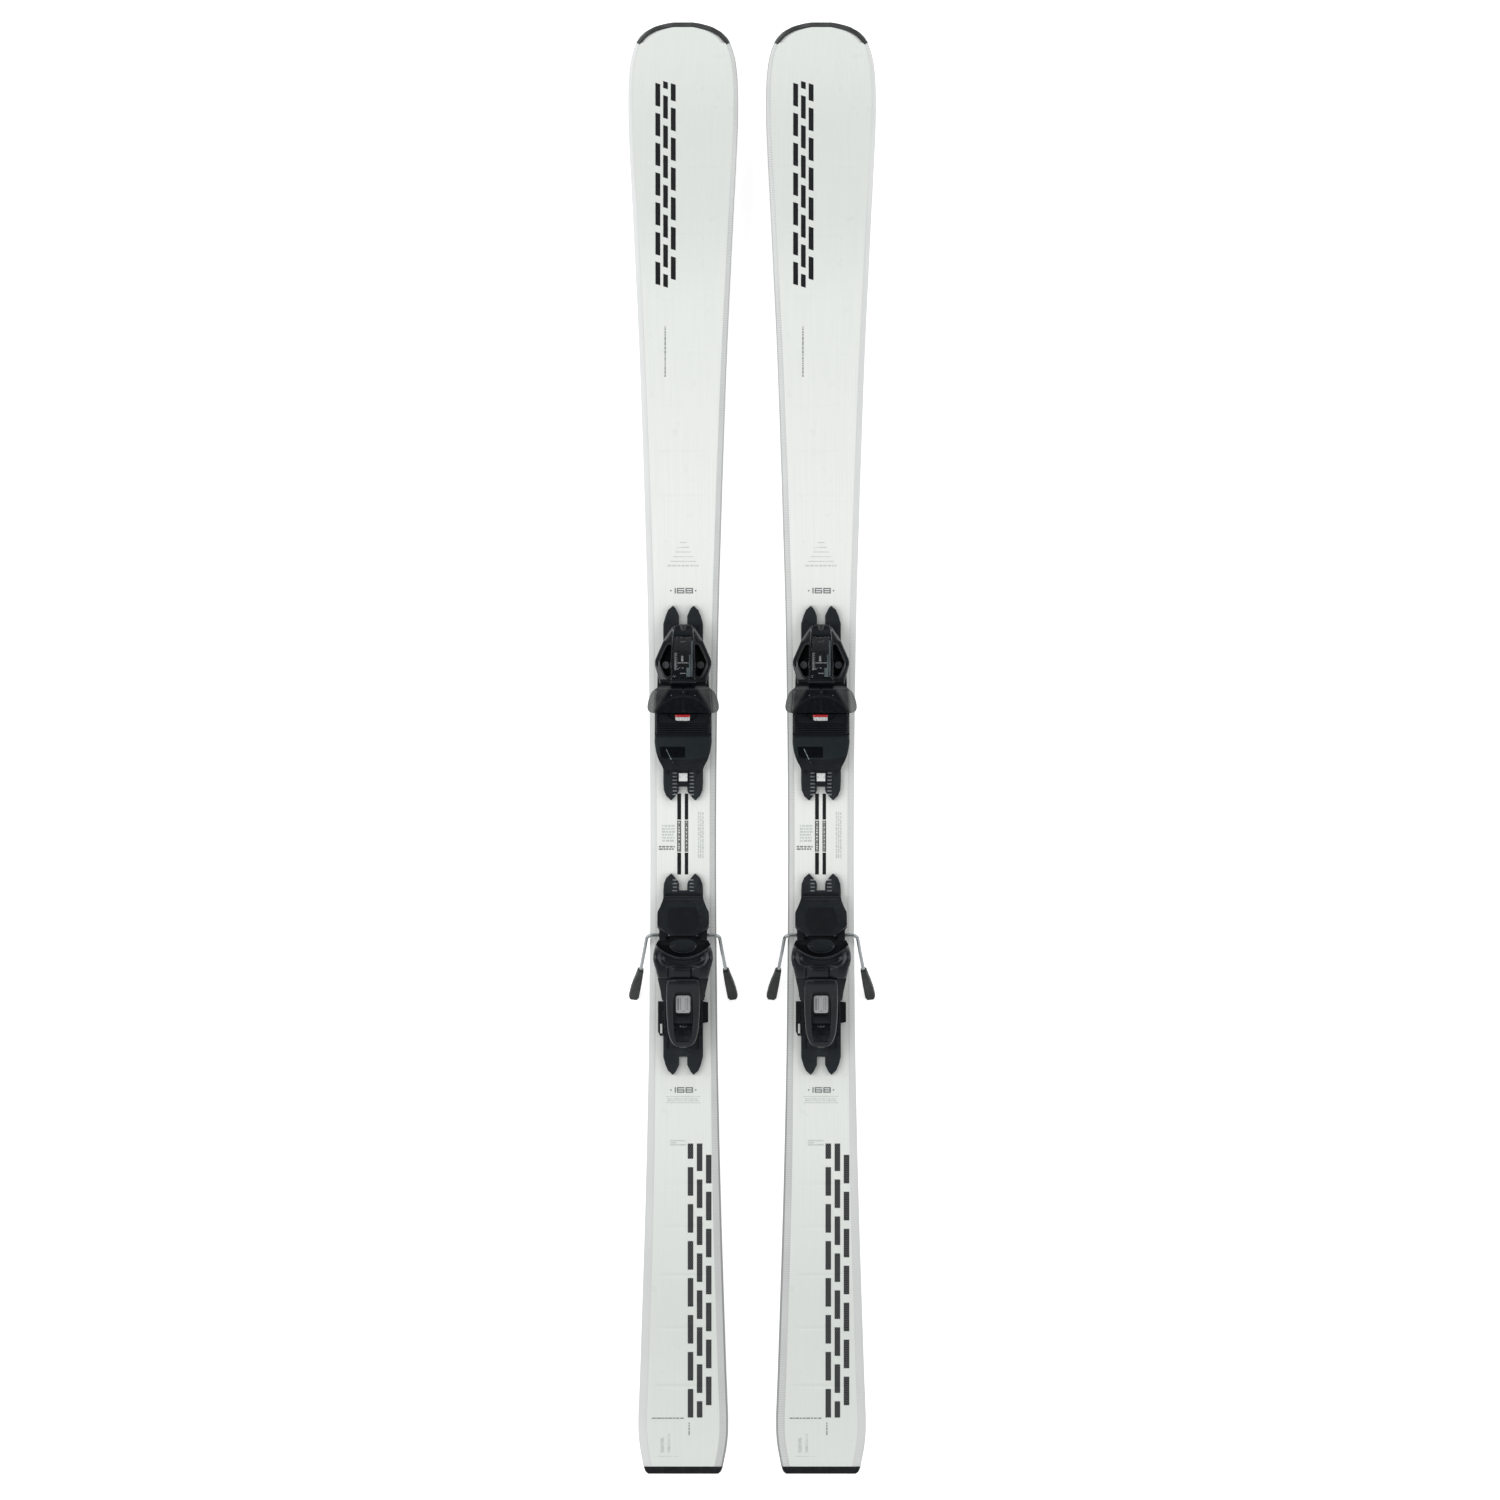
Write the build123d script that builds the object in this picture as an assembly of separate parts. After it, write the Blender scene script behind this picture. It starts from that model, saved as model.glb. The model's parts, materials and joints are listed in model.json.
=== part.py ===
from build123d import *
import math
import os

# Pair of alpine skis with system bindings, millimetres.
# Frame: +Y towards the tips, +X to the right seen from above, +Z up. Origin: middle of the pair, at the level of the
# brake tips, which are the lowest points while the heels are open.
# Each ski is first modelled in its own ski frame: x across, y along, z above the plane that the running base touches.
# Rest state: both heels open and ready for stepping in, so the brakes are down.

# ---------------------------------------------------------------- driving dimensions
ski_spacing = 158.7          # centre line to centre line of the two skis
platform_top = 18.0          # flat top of the ski under the binding
edge_size = 2.0              # steel edge, wide and high
base_thick = 1.4
cap_wall = 1.2
cap_bevel_x, cap_bevel_z = 5.0, 2.2   # sloping flank of the cap beside its top
tip_band = 5.0               # width of the black guard round the tip
tip_guard_y = 812.0          # the guard's two ends
tail_guard_y = -827.0        # front face of the tail guard

# half width of the ski (127 / 76 / 104 side cut), from tip to tail
outline = [(835.5, 11.0), (834.9, 15.5), (832.6, 25.9), (830.3, 33.2), (828.0, 37.8), (825.7, 41.9), (823.4, 45.1),
           (821.1, 47.5), (818.8, 49.8), (816.5, 51.5), (812.0, 54.0), (802.7, 57.5), (791.2, 60.4), (779.7, 62.0),
           (768.2, 62.9), (745.2, 63.45), (722.2, 63.3), (699.2, 62.5), (676.2, 61.4), (630.2, 59.0), (584.2, 56.7),
           (538.2, 54.5), (492.2, 52.3), (446.2, 50.3), (400.2, 48.6), (354.2, 47.0), (308.2, 45.4), (262.2, 44.0),
           (216.2, 42.6), (190.0, 41.8), (124.2, 40.3), (78.2, 39.6), (32.2, 39.0), (-13.8, 38.5), (-59.8, 38.2),
           (-117.3, 38.05), (-174.8, 38.2), (-243.8, 38.6), (-312.8, 39.3), (-358.8, 39.9), (-400.0, 40.7),
           (-450.8, 41.8), (-496.8, 42.95), (-542.8, 44.2), (-588.8, 45.6), (-634.8, 47.1), (-680.8, 48.6),
           (-726.8, 50.2), (-749.8, 51.1), (-772.8, 51.85), (-784.3, 51.8), (-795.8, 51.1), (-807.3, 49.6),
           (-818.8, 47.4), (-827.0, 45.7), (-835.5, 42.5)]
camber = 4.0                 # height of the base under the boot, unweighted
base_curve = [(835.5, 56.0), (800, 44.5), (750, 30.0), (700, 18.6), (650, 10.2), (600, 4.7), (550, 1.7), (500, 0.4),
              (460, 0.0)]
tail_curve = [(-700, 0.0), (-760, 1.2), (-800, 4.0), (-835.5, 8.5)]
thickness = [(835.5, 4.6), (800, 4.8), (750, 5.2), (700, 5.8), (650, 6.6), (600, 7.5), (550, 8.4), (500, 9.2),
             (460, 9.9), (350, 11.9), (250, 14.0), (190, 15.14), (-400, 14.93), (-460, 13.5), (-550, 11.2),
             (-640, 9.3), (-700, 8.0), (-760, 7.2), (-800, 6.8), (-835.5, 6.5)]

# binding
track_half, track_top = 23.0, 24.0
toe_pin_x, toe_pin_y, toe_pin_r = 20.0, 96.0, 3.0
brake_axis_y, brake_axis_z = -215.0, 28.0
brake_wire_r = 2.0
brake_angle = 46.0           # arms below the horizontal while the brake is down
pedal_axis_y, pedal_axis_z = -176.5, 30.0
pedal_lift = 15.0            # pedal angle while the brake is down
heel_axis_y, heel_axis_z = -258.0, 56.0
lever_axis_y, lever_axis_z = -269.0, 86.0
latch_x, latch_y = -26.2, -295.2
running = 0.06               # radial clearance of a pin in its hole


# ---------------------------------------------------------------- helpers
def interp(table, y):
    t = sorted(table)
    if y <= t[0][0]:
        return t[0][1]
    for (a, va), (b, vb) in zip(t, t[1:]):
        if y <= b:
            return va + (vb - va) * (y - a) / (b - a)
    return t[-1][1]


def base_z(y):
    if y >= 460:
        return interp(base_curve, y)
    if y <= -700:
        return interp(tail_curve, y)
    return camber * (1 - ((y + 120) / 580) ** 2)


def top_z(y):
    if -400 <= y <= 190:
        return platform_top
    return base_z(y) + interp(thickness, y)


def block(x0, x1, y0, y1, z0, z1):
    return Pos((x0 + x1) / 2, (y0 + y1) / 2, (z0 + z1) / 2) * Box(abs(x1 - x0), abs(y1 - y0), abs(z1 - z0))


def prism_z(points, z0, z1):
    face = make_face(Polyline(*[(x, y, z0) for x, y in points], close=True))
    return extrude(face, amount=z1 - z0, dir=(0, 0, 1))


def prism_x(points, x0, x1):
    face = make_face(Polyline(*[(x0, y, z) for y, z in points], close=True))
    return extrude(face, amount=x1 - x0, dir=(1, 0, 0))


def rod(axis, x, y, z, r, length):
    """Cylinder of that length from (x, y, z) along axis X, Y or Z."""
    turn = {"X": Rotation(0, 90, 0), "Y": Rotation(-90, 0, 0), "Z": Rotation(0, 0, 0)}[axis]
    return Pos(x, y, z) * turn * Cylinder(r, length, align=(Align.CENTER, Align.CENTER, Align.MIN))


def both(points):
    """Closed outline from its right half, given from front to back as (x, y)."""
    return [(x, y) for x, y in points] + [(-x, y) for x, y in reversed(points) if abs(x) > 1e-6]


def eased(shape, radius, which):
    """Rounds those edges, with a smaller radius where the full one doesn't fit."""
    for r in (radius, radius * 0.6, radius * 0.3):
        try:
            edges = which(shape)
            done = fillet(edges, r)
            if done.is_valid and len(done.solids()) == len(shape.solids()):
                return done
        except Exception:
            continue
    return shape


def one(shape):
    """A single solid: the largest, if a cut left crumbs."""
    return max(shape.solids(), key=lambda s: s.volume)


def loft_sections(sections):
    """Ruled solid through closed polygons, each a list of (x, y, z) with the same number of corners."""
    return Solid.make_loft([Wire.make_polygon([Vector(*p) for p in s], close=True) for s in sections], ruled=True)


# ---------------------------------------------------------------- ski
def inner_outline():
    """Half widths of what lies inside the tip guard and ahead of the tail guard."""
    pts = []
    n = len(outline)
    for i, (y, w) in enumerate(outline):
        if y < tail_guard_y - 0.1:
            continue
        if y > tip_guard_y + 0.1:
            continue
        pts.append((y, w))
    # the tip inside the guard: the outline moved in by the guard's width
    moved = []
    front = [(y, w) for y, w in outline if y > tip_guard_y - 12]
    for (y0, w0), (y1, w1) in zip(front, front[1:]):
        dy, dw = y1 - y0, w1 - w0
        length = math.hypot(dy, dw)
        nx, ny = -dy / length, dw / length     # outward normal in (w, y)
        my, mw = (y0 + y1) / 2 - ny * tip_band, (w0 + w1) / 2 - nx * tip_band
        moved.append((my, mw))
    moved = [(y, w) for y, w in moved if y > tip_guard_y - 4.0 and w > 4]
    top_y = outline[0][0] - tip_band
    moved = [(top_y, 9.0)] + [(y, w) for y, w in moved if y < top_y - 0.3]
    return moved, pts


tip_inner, body_outline = inner_outline()


def stations():
    """(y, half width) from tip to tail for the layers between the guards."""
    ys = [(y, w) for y, w in tip_inner if y > tip_guard_y + 0.3]
    step = interp([(y, w) for y, w in tip_inner], tip_guard_y)
    front = ys + [(tip_guard_y + 0.02, step)]
    rear = [(tip_guard_y, interp(outline, tip_guard_y))] + [p for p in body_outline if p[0] < tip_guard_y - 0.1]
    return front, rear


front_st, rear_st = stations()


def layer(section, st):
    return loft_sections([[(x, y, z) for x, z in section(y, w)] for y, w in st])


def whole_layer(section):
    """The part inside the tip guard and the part behind it are two lofts that meet at the guard's ends."""
    a, b = layer(section, [(y if y > tip_guard_y + 0.1 else tip_guard_y, w) for y, w in front_st]), layer(section, rear_st)
    return (a + b).clean()


def base_section(y, w):
    z = base_z(y)
    h = w - edge_size
    return [(-h, z), (h, z), (h, z + base_thick), (-h, z + base_thick)]


def edge_section(side):
    def section(y, w):
        z = base_z(y)
        a, b = sorted((side * (w - edge_size), side * w))
        return [(a, z), (b, z), (b, z + edge_size), (a, z + edge_size)]
    return section


def core_section(y, w):
    z, t = base_z(y), top_z(y) - cap_wall
    e = z + edge_size
    shoulder = max(t - cap_bevel_z, e + 0.15)
    return [(-(w - edge_size), z + base_thick), (w - edge_size, z + base_thick), (w - edge_size, e), (w - cap_wall, e),
            (w - cap_wall, shoulder), (w - cap_wall - cap_bevel_x, t), (-(w - cap_wall - cap_bevel_x), t),
            (-(w - cap_wall), shoulder), (-(w - cap_wall), e), (-(w - edge_size), e)]


def cap_section(y, w):
    z, t = base_z(y), top_z(y)
    e = z + edge_size
    ti = t - cap_wall
    shoulder_in = max(ti - cap_bevel_z, e + 0.15)
    shoulder = max(t - cap_bevel_z, e + 0.4)
    return [(w, e), (w, shoulder), (w - cap_bevel_x, t), (-(w - cap_bevel_x), t), (-w, shoulder), (-w, e),
            (-(w - cap_wall), e), (-(w - cap_wall), shoulder_in), (-(w - cap_wall - cap_bevel_x), ti),
            (w - cap_wall - cap_bevel_x, ti), (w - cap_wall, shoulder_in), (w - cap_wall, e)]


def side_strip(y0, y1, step=4.0):
    """Full thickness of the ski between two stations, as a slab wider than the ski."""
    n = max(2, int(abs(y1 - y0) / step) + 1)
    ys = [y0 + (y1 - y0) * i / n for i in range(n + 1)]
    low = [(y, base_z(y)) for y in ys]
    high = [(y, top_z(y)) for y in reversed(ys)]
    return prism_x(low + high, -90, 90)


def ski_parts():
    p = {}
    p["ski_base"] = whole_layer(base_section)
    p["ski_core"] = whole_layer(core_section)
    p["ski_cap"] = whole_layer(cap_section)
    p["ski_edges"] = Compound([layer(edge_section(s), rear_st) for s in (-1, 1)])
    outer = [(w, y) for y, w in outline if y >= tip_guard_y]
    inner = [(w, y) for y, w in tip_inner if y > tip_guard_y + 0.3] + [(front_st[-1][1], tip_guard_y)]
    band = prism_z(both(outer), 30, 80) - prism_z(both(inner), 20, 90)
    tip = one(band & side_strip(tip_guard_y, 836.0))
    tail = one(prism_z(both([(w, y) for y, w in outline if y <= tail_guard_y + 0.01]), 0, 40)
               & side_strip(tail_guard_y, -836.0))
    tail = eased(tail, 1.6, lambda s: s.edges().filter_by(Axis.Z))
    p["ski_end_guards"] = Compound([tip, tail])
    return p


# ---------------------------------------------------------------- tracks
def fork(tip_y, direction, tip_x, inner, depth):
    """Corners of one forked end, right half: direction is +1 where it points to the tip."""
    d = direction
    return [(tip_x, tip_y), (tip_x + 5.6, tip_y - d * 5.0), (tip_x + 8.6, tip_y - d * 12.0),
            (track_half, tip_y - d * 21.0)], [(tip_x - 3.2, tip_y - d * 3.2), (inner + 1.2, tip_y - d * 9.0),
                                              (inner, tip_y - d * 12.0), (inner, tip_y - d * depth)]


def track(front_y, rear_y, front_tip_x, rear_tip_x, front_depth, rear_depth, slots, screws):
    out_f, in_f = fork(front_y, 1, front_tip_x, 4.6, front_depth)
    out_r, in_r = fork(rear_y, -1, rear_tip_x, 4.6, rear_depth)
    right = [(0.0, front_y - front_depth)] + list(reversed(in_f)) + out_f + list(reversed(out_r)) + in_r \
        + [(0.0, rear_y + rear_depth)]
    left = [(-x, y) for x, y in reversed(right[1:-1])]
    plate = prism_z(right + left, platform_top, track_top)
    plate = eased(plate, 1.0, lambda s: s.edges().group_by(Axis.Z)[-1])
    cuts = [block(s * 7.0, s * 12.4, y - 0.95, y + 0.95, platform_top - 1, track_top + 1) for y in slots for s in (-1, 1)]
    # lengthwise channels that lighten the plate between its rails
    cuts += [block(s * 15.6, s * 18.0, rear_y + 30, front_y - 30, track_top - 1.4, track_top + 1) for s in (-1, 1)]
    for x, y in screws:
        cuts.append(rod("Z", x, y, platform_top - 1, 2.6, 12))
        cuts.append(rod("Z", x, y, track_top - 2.6, 4.6, 6))
    for c in cuts:
        plate = plate - c
    return one(plate)


toe_screws = [(s * 9.6, y) for y in (130.0, 4.0) for s in (-1, 1)]
heel_screws = [(s * 9.6, y) for y in (-196.0, -344.0) for s in (-1, 1)]


def screw(x, y):
    body = rod("Z", x, y, platform_top + 0.0, 2.5, 4.0) + rod("Z", x, y, track_top - 2.6, 4.4, 2.1)
    return one(body - block(x - 0.6, x + 0.6, y - 3.0, y + 3.0, track_top - 1.5, track_top)
               - block(x - 3.0, x + 3.0, y - 0.6, y + 0.6, track_top - 1.5, track_top))


def track_parts():
    p = {}
    p["toe_track"] = track(164.5, -60.0, 11.8, 13.8, 26.0, 34.0, [-28.4 - 4.1 * i for i in range(7)], toe_screws)
    p["heel_track"] = track(-143.8, -376.0, 13.8, 12.0, 19.5, 21.0, [-151.5 - 4.1 * i for i in range(5)], heel_screws)
    p["track_screws"] = Compound([screw(x, y) for x, y in toe_screws + heel_screws])
    return p


# ---------------------------------------------------------------- toe piece
toe_outline = [(10.8, 143.0), (21.0, 125.0), (30.4, 104.0), (32.3, 96.0), (31.2, 88.0), (27.2, 75.0)]
spine_axis_z = 50.0
toe_cover_top = [(143.4, 44.0), (139.0, 51.0), (126.0, 58.5), (104.0, 66.0), (82.0, 71.0), (77.0, 70.0), (74.6, 66.0)]


def toe_carriage():
    # grips the rails of the track from outside and carries housing, wings and sole plate
    plan = [(17.0, 124.0), (26.0, 112.0), (29.4, 100.0), (29.4, 70.0), (31.0, 50.0), (32.6, 40.0), (32.8, 8.0),
            (31.6, -1.0), (30.0, -7.5), (27.6, -14.0), (24.6, -19.5), (22.6, -23.0)]
    low = prism_z(both(plan), platform_top + 1.2, 28.0)
    low = low - block(-(track_half + 0.25), track_half + 0.25, -60, 170, platform_top - 1, track_top + 0.25)
    # sole support block under the sliding plate and the rear cover
    block_plan = [(31.0, 40.0), (32.6, 38.0), (32.8, 8.0), (31.6, -1.0), (30.0, -7.5), (27.6, -14.0), (24.6, -19.5),
                  (22.6, -25.3)]
    sole = prism_z(both(block_plan), 24.25, 33.0)
    cover = prism_x([(13.4, 26.0), (13.4, 34.0), (10.0, 36.4), (-14.0, 34.0), (-25.3, 28.6), (-25.3, 26.0)], -40, 40) \
        & prism_z(both(block_plan), 20, 60)
    body = low + sole + cover
    body = body - block(-(track_half + 0.25), track_half + 0.25, -60, 170, platform_top - 1, track_top + 0.25)
    # ledges that hook under the rails' outer edges are the flanges left at x 23.25 and beyond
    # pocket for the sliding sole plate
    body = body - block(-40.0, 40.0, 16.2, 45.0, 31.0, 40.0) - block(-22.4, 22.4, 26.0, 30.4, 28.8, 32.0)
    # rear pocket and hinge slot for the latch
    body = body - block(-6.3, 6.3, -30.0, -14.0, 20.0, 31.2)
    for s in (-1, 1):
        body = body - rod("Z", s * toe_pin_x, toe_pin_y, 20, toe_pin_r + 0.03, 20)
    # hinge pin of the latch, part of the casting
    body = body + rod("X", -7.0, -17.0, 28.2, 1.2, 14.0)
    # legs of the housing at the front
    body = one(body)
    return eased(body, 1.0, lambda s: [e for e in s.edges().filter_by(Axis.Z) if e.center().Y < -10 and abs(e.center().X) > 15])


def toe_housing():
    upper = prism_z(both(toe_outline), 43.4, 80.0)
    # shoulders slope outwards from the spine
    shoulder = prism_x([(150, 43.0), (150, 43.5), (143.4, 44.0), (126.0, 50.5), (104.0, 54.5), (90.0, 56.0),
                        (74.6, 55.0), (74.6, 43.0)], -40, 40)
    upper = upper & shoulder
    spine_plan = [(9.6, 143.0), (11.6, 120.0), (13.8, 92.0), (13.8, 75.4)]
    spine = prism_z(both(spine_plan), 30.0, 80.0) & prism_x([(143.0, 30.0)] + toe_cover_top + [(74.6, 44.0),
                                                             (104.0, 43.4), (104.0, 30.0)], -40, 40)
    nose = prism_z(both([(10.8, 143.0), (20.4, 126.0), (24.5, 116.0), (24.5, 108.0)]), 28.0, 46.0)
    body = upper + spine + nose
    body = one(body.clean())
    body = eased(body, 2.0, lambda s: [e for e in s.edges().filter_by(Axis.Z) if e.center().Z > 43 and e.center().Y < 110
                                       and abs(e.center().X) > 20])
    # spring chamber
    body = body - rod("Y", 0, 82.0, spine_axis_z, 9.0, 44.0)
    # threaded nose for the adjusting screw
    body = body - rod("Y", 0, 120.0, spine_axis_z, 4.0 + running, 30.0)
    # open pits over the two pivot pins
    pit = [(13.95, 120.0), (14.0, 86.0), (17.0, 81.5), (25.9, 96.0), (26.0, 101.0), (17.0, 118.0)]
    for s in (-1, 1):
        body = body - prism_z([(s * x, y) for x, y in pit], 43.0, 70.0)
    # hollow behind the spine's top for the scale, under the window
    body = body - prism_x([(124.0, 58.2), (86.0, 69.2), (86.0, 64.0), (124.0, 53.0)], -8.6, 8.6)
    body = body - prism_x([(126.5, 57.0), (84.0, 69.3), (84.0, 75.0), (126.5, 66.0)], -10.0, 10.0)
    return one(body)


def toe_window():
    # clear lens that closes the spine's top
    lens = prism_x([(126.3, 57.2), (84.2, 69.35), (84.2, 71.0), (104.0, 66.6), (126.3, 58.9)], -9.8, 9.8)
    return one(lens)


def toe_indicator():
    # scale plate that travels under the window
    return one(prism_x([(113.0, 59.9), (93.0, 65.7), (93.0, 64.3), (113.0, 58.5)], -6.8, 6.8))


def spring(y0, y1, z, radius, wire, turns):
    """Compression spring along Y with ends cut square."""
    length = y1 - y0
    path = Helix(pitch=length / turns, height=length, radius=radius, center=(0, 0, 0), direction=(0, 0, 1))
    start = path @ 0
    section = Plane(origin=start, z_dir=path % 0) * Circle(wire)
    coil = sweep(section, path=path, is_frenet=True)
    return Pos(0, y0, z) * Rotation(-90, 0, 0) * coil


def toe_screw():
    body = rod("Y", 0, 128.0, spine_axis_z, 4.0, 14.4)
    body = body - block(-0.7, 0.7, 140.6, 144.0, spine_axis_z - 4.2, spine_axis_z + 4.2)
    return one(body)


def toe_wing(side):
    s = side
    # plan of the right wing; the left one mirrors it
    lip = [(1.2, 71.6), (20.0, 72.0), (27.0, 71.6), (36.6, 64.8), (40.6, 54.0), (41.2, 46.9), (39.4, 42.2), (32.0, 40.6),
           (1.2, 40.6)]
    lip = [(s * x, y) for x, y in lip]
    whole = prism_z(lip, 33.6, 66.0)
    top = prism_x([(72.0, 30.0), (72.0, 62.5), (66.0, 65.6), (40.4, 61.4), (40.4, 30.0)], -45, 45)
    whole = whole & top
    # outer flank leans inwards towards the top
    lean = [(s * 42.5, 30.0), (s * 42.5, 44.0), (s * 30.0, 68.0), (0, 70.0), (0, 30.0)]
    face = make_face(Polyline(*[(x, 30.0, z) for x, z in lean], close=True))
    whole = whole & extrude(face, amount=50, dir=(0, 1, 0))
    # room for the boot's toe lug
    room = [(-2.0, 40.0), (35.2, 39.0), (33.4, 50.0), (27.0, 60.5), (16.0, 66.4), (-2.0, 68.0)]
    whole = whole - prism_z([(s * x, y) for x, y in room], 30.0, 58.0)
    # arm from the pivot hub, below the housing
    arm = prism_z([(s * x, y) for x, y in [(14.0, 98.0), (26.0, 98.0), (29.6, 84.0), (30.0, 70.0), (24.0, 66.0), (13.0, 68.0),
                                           (12.0, 84.0)]], 33.6, 42.6)
    hub = rod("Z", s * toe_pin_x, toe_pin_y, 28.3, 8.0, 14.3)
    body = whole + arm + hub
    body = body - rod("Z", s * toe_pin_x, toe_pin_y, 20, toe_pin_r + running, 40)
    # the arm clears the boot's room too
    body = body - prism_z([(s * x, y) for x, y in room], 30.0, 58.0)
    body = one(body)
    return eased(body, 1.8, lambda q: [e for e in q.edges().filter_by(Axis.Z) if abs(e.center().X) > 34])


def toe_pin(s):
    return one(rod("Z", s * toe_pin_x, toe_pin_y, 24.4, toe_pin_r, 20.4) + rod("Z", s * toe_pin_x, toe_pin_y, 43.0, 4.1, 2.6)
               - prism_z([(s * toe_pin_x + 2.2 * math.cos(a * math.pi / 3), toe_pin_y + 2.2 * math.sin(a * math.pi / 3))
                          for a in range(6)], 44.2, 46))


def sole_slider():
    # low-friction plate under the ball of the boot, free to move sideways
    plan = both([(29.4, 40.2), (31.1, 38.7), (31.6, 36.0), (31.6, 20.0), (31.2, 17.6), (29.8, 16.6)])
    body = prism_z(plan, 31.1, 38.0)
    body = eased(body, 1.0, lambda s: s.edges().group_by(Axis.Z)[-1])
    for i in range(5):
        y = 18.4 + 2.6 * i
        body = body - block(-29.0, 29.0, y - 0.45, y + 0.45, 37.4, 39.0)
    # lens-shaped hollow at its front
    hollow = [(x, 41.2) for x in (17.0, -17.0)] + [(-12.5, 34.4), (-6.0, 31.6), (0.0, 30.8), (6.0, 31.6), (12.5, 34.4)]
    body = body - prism_z(hollow, 36.4, 39.0)
    # guide tongue in the carriage's cross slot
    body = body + block(-16.0, 16.0, 26.1, 30.3, 29.0, 31.3)
    return one(body)


def toe_latch():
    # spring tab that locks the toe piece on the track's ladder
    body = prism_x([(-15.4, 27.0), (-15.4, 30.4), (-20.0, 30.8), (-26.5, 27.6), (-42.0, 27.0), (-44.0, 25.8),
                    (-44.0, 24.6), (-19.0, 24.6)], -5.6, 5.6)
    body = body + block(-4.2, 4.2, -41.5, -27.5, 26.6, 27.9)
    body = body - rod("X", -8.0, -17.0, 28.2, 1.2 + running, 16.0)
    return one(body)


def toe_parts():
    p = {}
    p["toe_carriage"] = toe_carriage()
    p["toe_housing"] = toe_housing()
    p["toe_window"] = toe_window()
    p["toe_indicator"] = toe_indicator()
    p["toe_spring"] = spring(84.0, 124.0, spine_axis_z, 6.0, 1.1, 8)
    p["toe_screw"] = toe_screw()
    p["toe_wing_l"] = toe_wing(-1)
    p["toe_wing_r"] = toe_wing(1)
    p["toe_pivot_pins"] = Compound([toe_pin(-1), toe_pin(1)])
    p["sole_slider"] = sole_slider()
    p["toe_latch"] = toe_latch()
    return p


# ---------------------------------------------------------------- brake
def turned(points, axis_y, axis_z, degrees):
    """(y, z) points turned about an X axis."""
    a = math.radians(degrees)
    return [(axis_y + (y - axis_y) * math.cos(a) - (z - axis_z) * math.sin(a),
             axis_z + (y - axis_y) * math.sin(a) + (z - axis_z) * math.cos(a)) for y, z in points]


def arm_point(x, along):
    """Point of the right arm that far from the pivot axis."""
    a = math.radians(brake_angle)
    return (x, brake_axis_y - along * math.cos(a), brake_axis_z - along * math.sin(a))


def brake_arms():
    right = [(12.6, brake_axis_y, brake_axis_z), (41.6, brake_axis_y, brake_axis_z), arm_point(44.9, 28.0),
             arm_point(48.7, 56.0), arm_point(53.6, 84.0)]
    # the crank that lifts the pedal
    crank = (8.6, brake_axis_y + 6.5, brake_axis_z + 9.6)
    right = [crank] + right
    pts = [(-x, y, z) for x, y, z in reversed(right)] + right
    radii = []
    for i in range(1, len(pts) - 1):
        a0, b0, c0 = Vector(*pts[i - 1]), Vector(*pts[i]), Vector(*pts[i + 1])
        turn = (b0 - a0).get_angle(c0 - b0)
        short = min((b0 - a0).length, (c0 - b0).length)
        r = min(7.0, 0.45 * short / math.tan(math.radians(turn / 2)))
        radii.append(max(r, 0.5))
    path = FilletPolyline(*pts, radius=radii)
    start = path @ 0
    section = Plane(origin=start, z_dir=path % 0) * Circle(brake_wire_r)
    return one(sweep(section, path=path, transition=Transition.ROUND))


def brake_tip(s):
    # moulded paddle on the end of the arm, built straight and then laid along it
    a, b = Vector(*arm_point(48.875, 57.0)), Vector(*arm_point(57.275, 105.0))
    d = (b - a).normalized()
    length = (b - a).length
    side = Vector(1, 0, 0)
    side = (side - d * side.dot(d)).normalized()
    plane = Plane(origin=a, x_dir=side, z_dir=side.cross(d) * -1)
    # in this plane x is across and y along the arm
    yd = plane.y_dir
    sign = 1 if yd.dot(d) > 0 else -1
    plan = [(-3.4, 0), (3.4, 0), (4.4, 12), (5.4, 20), (6.2, 32), (6.2, length - 4), (4.0, length), (-3.6, length),
            (-5.6, length - 4), (-4.6, 20), (-4.0, 10)]
    face = make_face(Polyline(*[(x, sign * y) for x, y in plan], close=True))
    body = extrude(plane * face, amount=3.8, both=True)
    body = eased(body, 1.5, lambda q: q.edges())
    hole = Plane(origin=a - d * 2, z_dir=d) * Circle(brake_wire_r + 0.02)
    body = body - extrude(hole, amount=29.8)
    if s < 0:
        body = mirror(body, about=Plane.YZ)
    return one(body)


def brake_pedal():
    # drawn flat, with the brake up, then swung to its raised position
    plan = [(21.5, -171.2), (22.6, -176.0), (24.6, -181.0), (27.4, -186.0), (29.6, -190.5), (29.6, -205.5), (28.4, -208.5),
            (13.6, -218.6), (0.0, -218.6)]
    plate = prism_z(both(plan), 31.6, 36.8)
    plate = eased(plate, 1.6, lambda s: [e for e in s.edges().group_by(Axis.Z)[-1] if e.center().Y > -173])
    plate = plate - prism_x([(-184.0, 30.0), (-184.0, 33.4), (-213.0, 33.4), (-214.0, 30.0)], -19.6, 19.6)
    knuckle = rod("X", -19.0, pedal_axis_y, pedal_axis_z, 3.1, 38.0)
    web = block(-19.0, 19.0, pedal_axis_y - 3.0, pedal_axis_y + 3.0, pedal_axis_z, 32.5)
    body = plate + knuckle + web
    for x0 in (-23.8, 19.1):
        body = body - rod("X", x0, pedal_axis_y, pedal_axis_z, 3.7, 4.7)
    body = body - rod("X", -40.0, pedal_axis_y, pedal_axis_z, 1.5 + running, 80.0)
    turn = Pos(0, pedal_axis_y, pedal_axis_z) * Rotation(-pedal_lift, 0, 0) * Pos(0, -pedal_axis_y, -pedal_axis_z)
    return one(turn * body)


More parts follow.
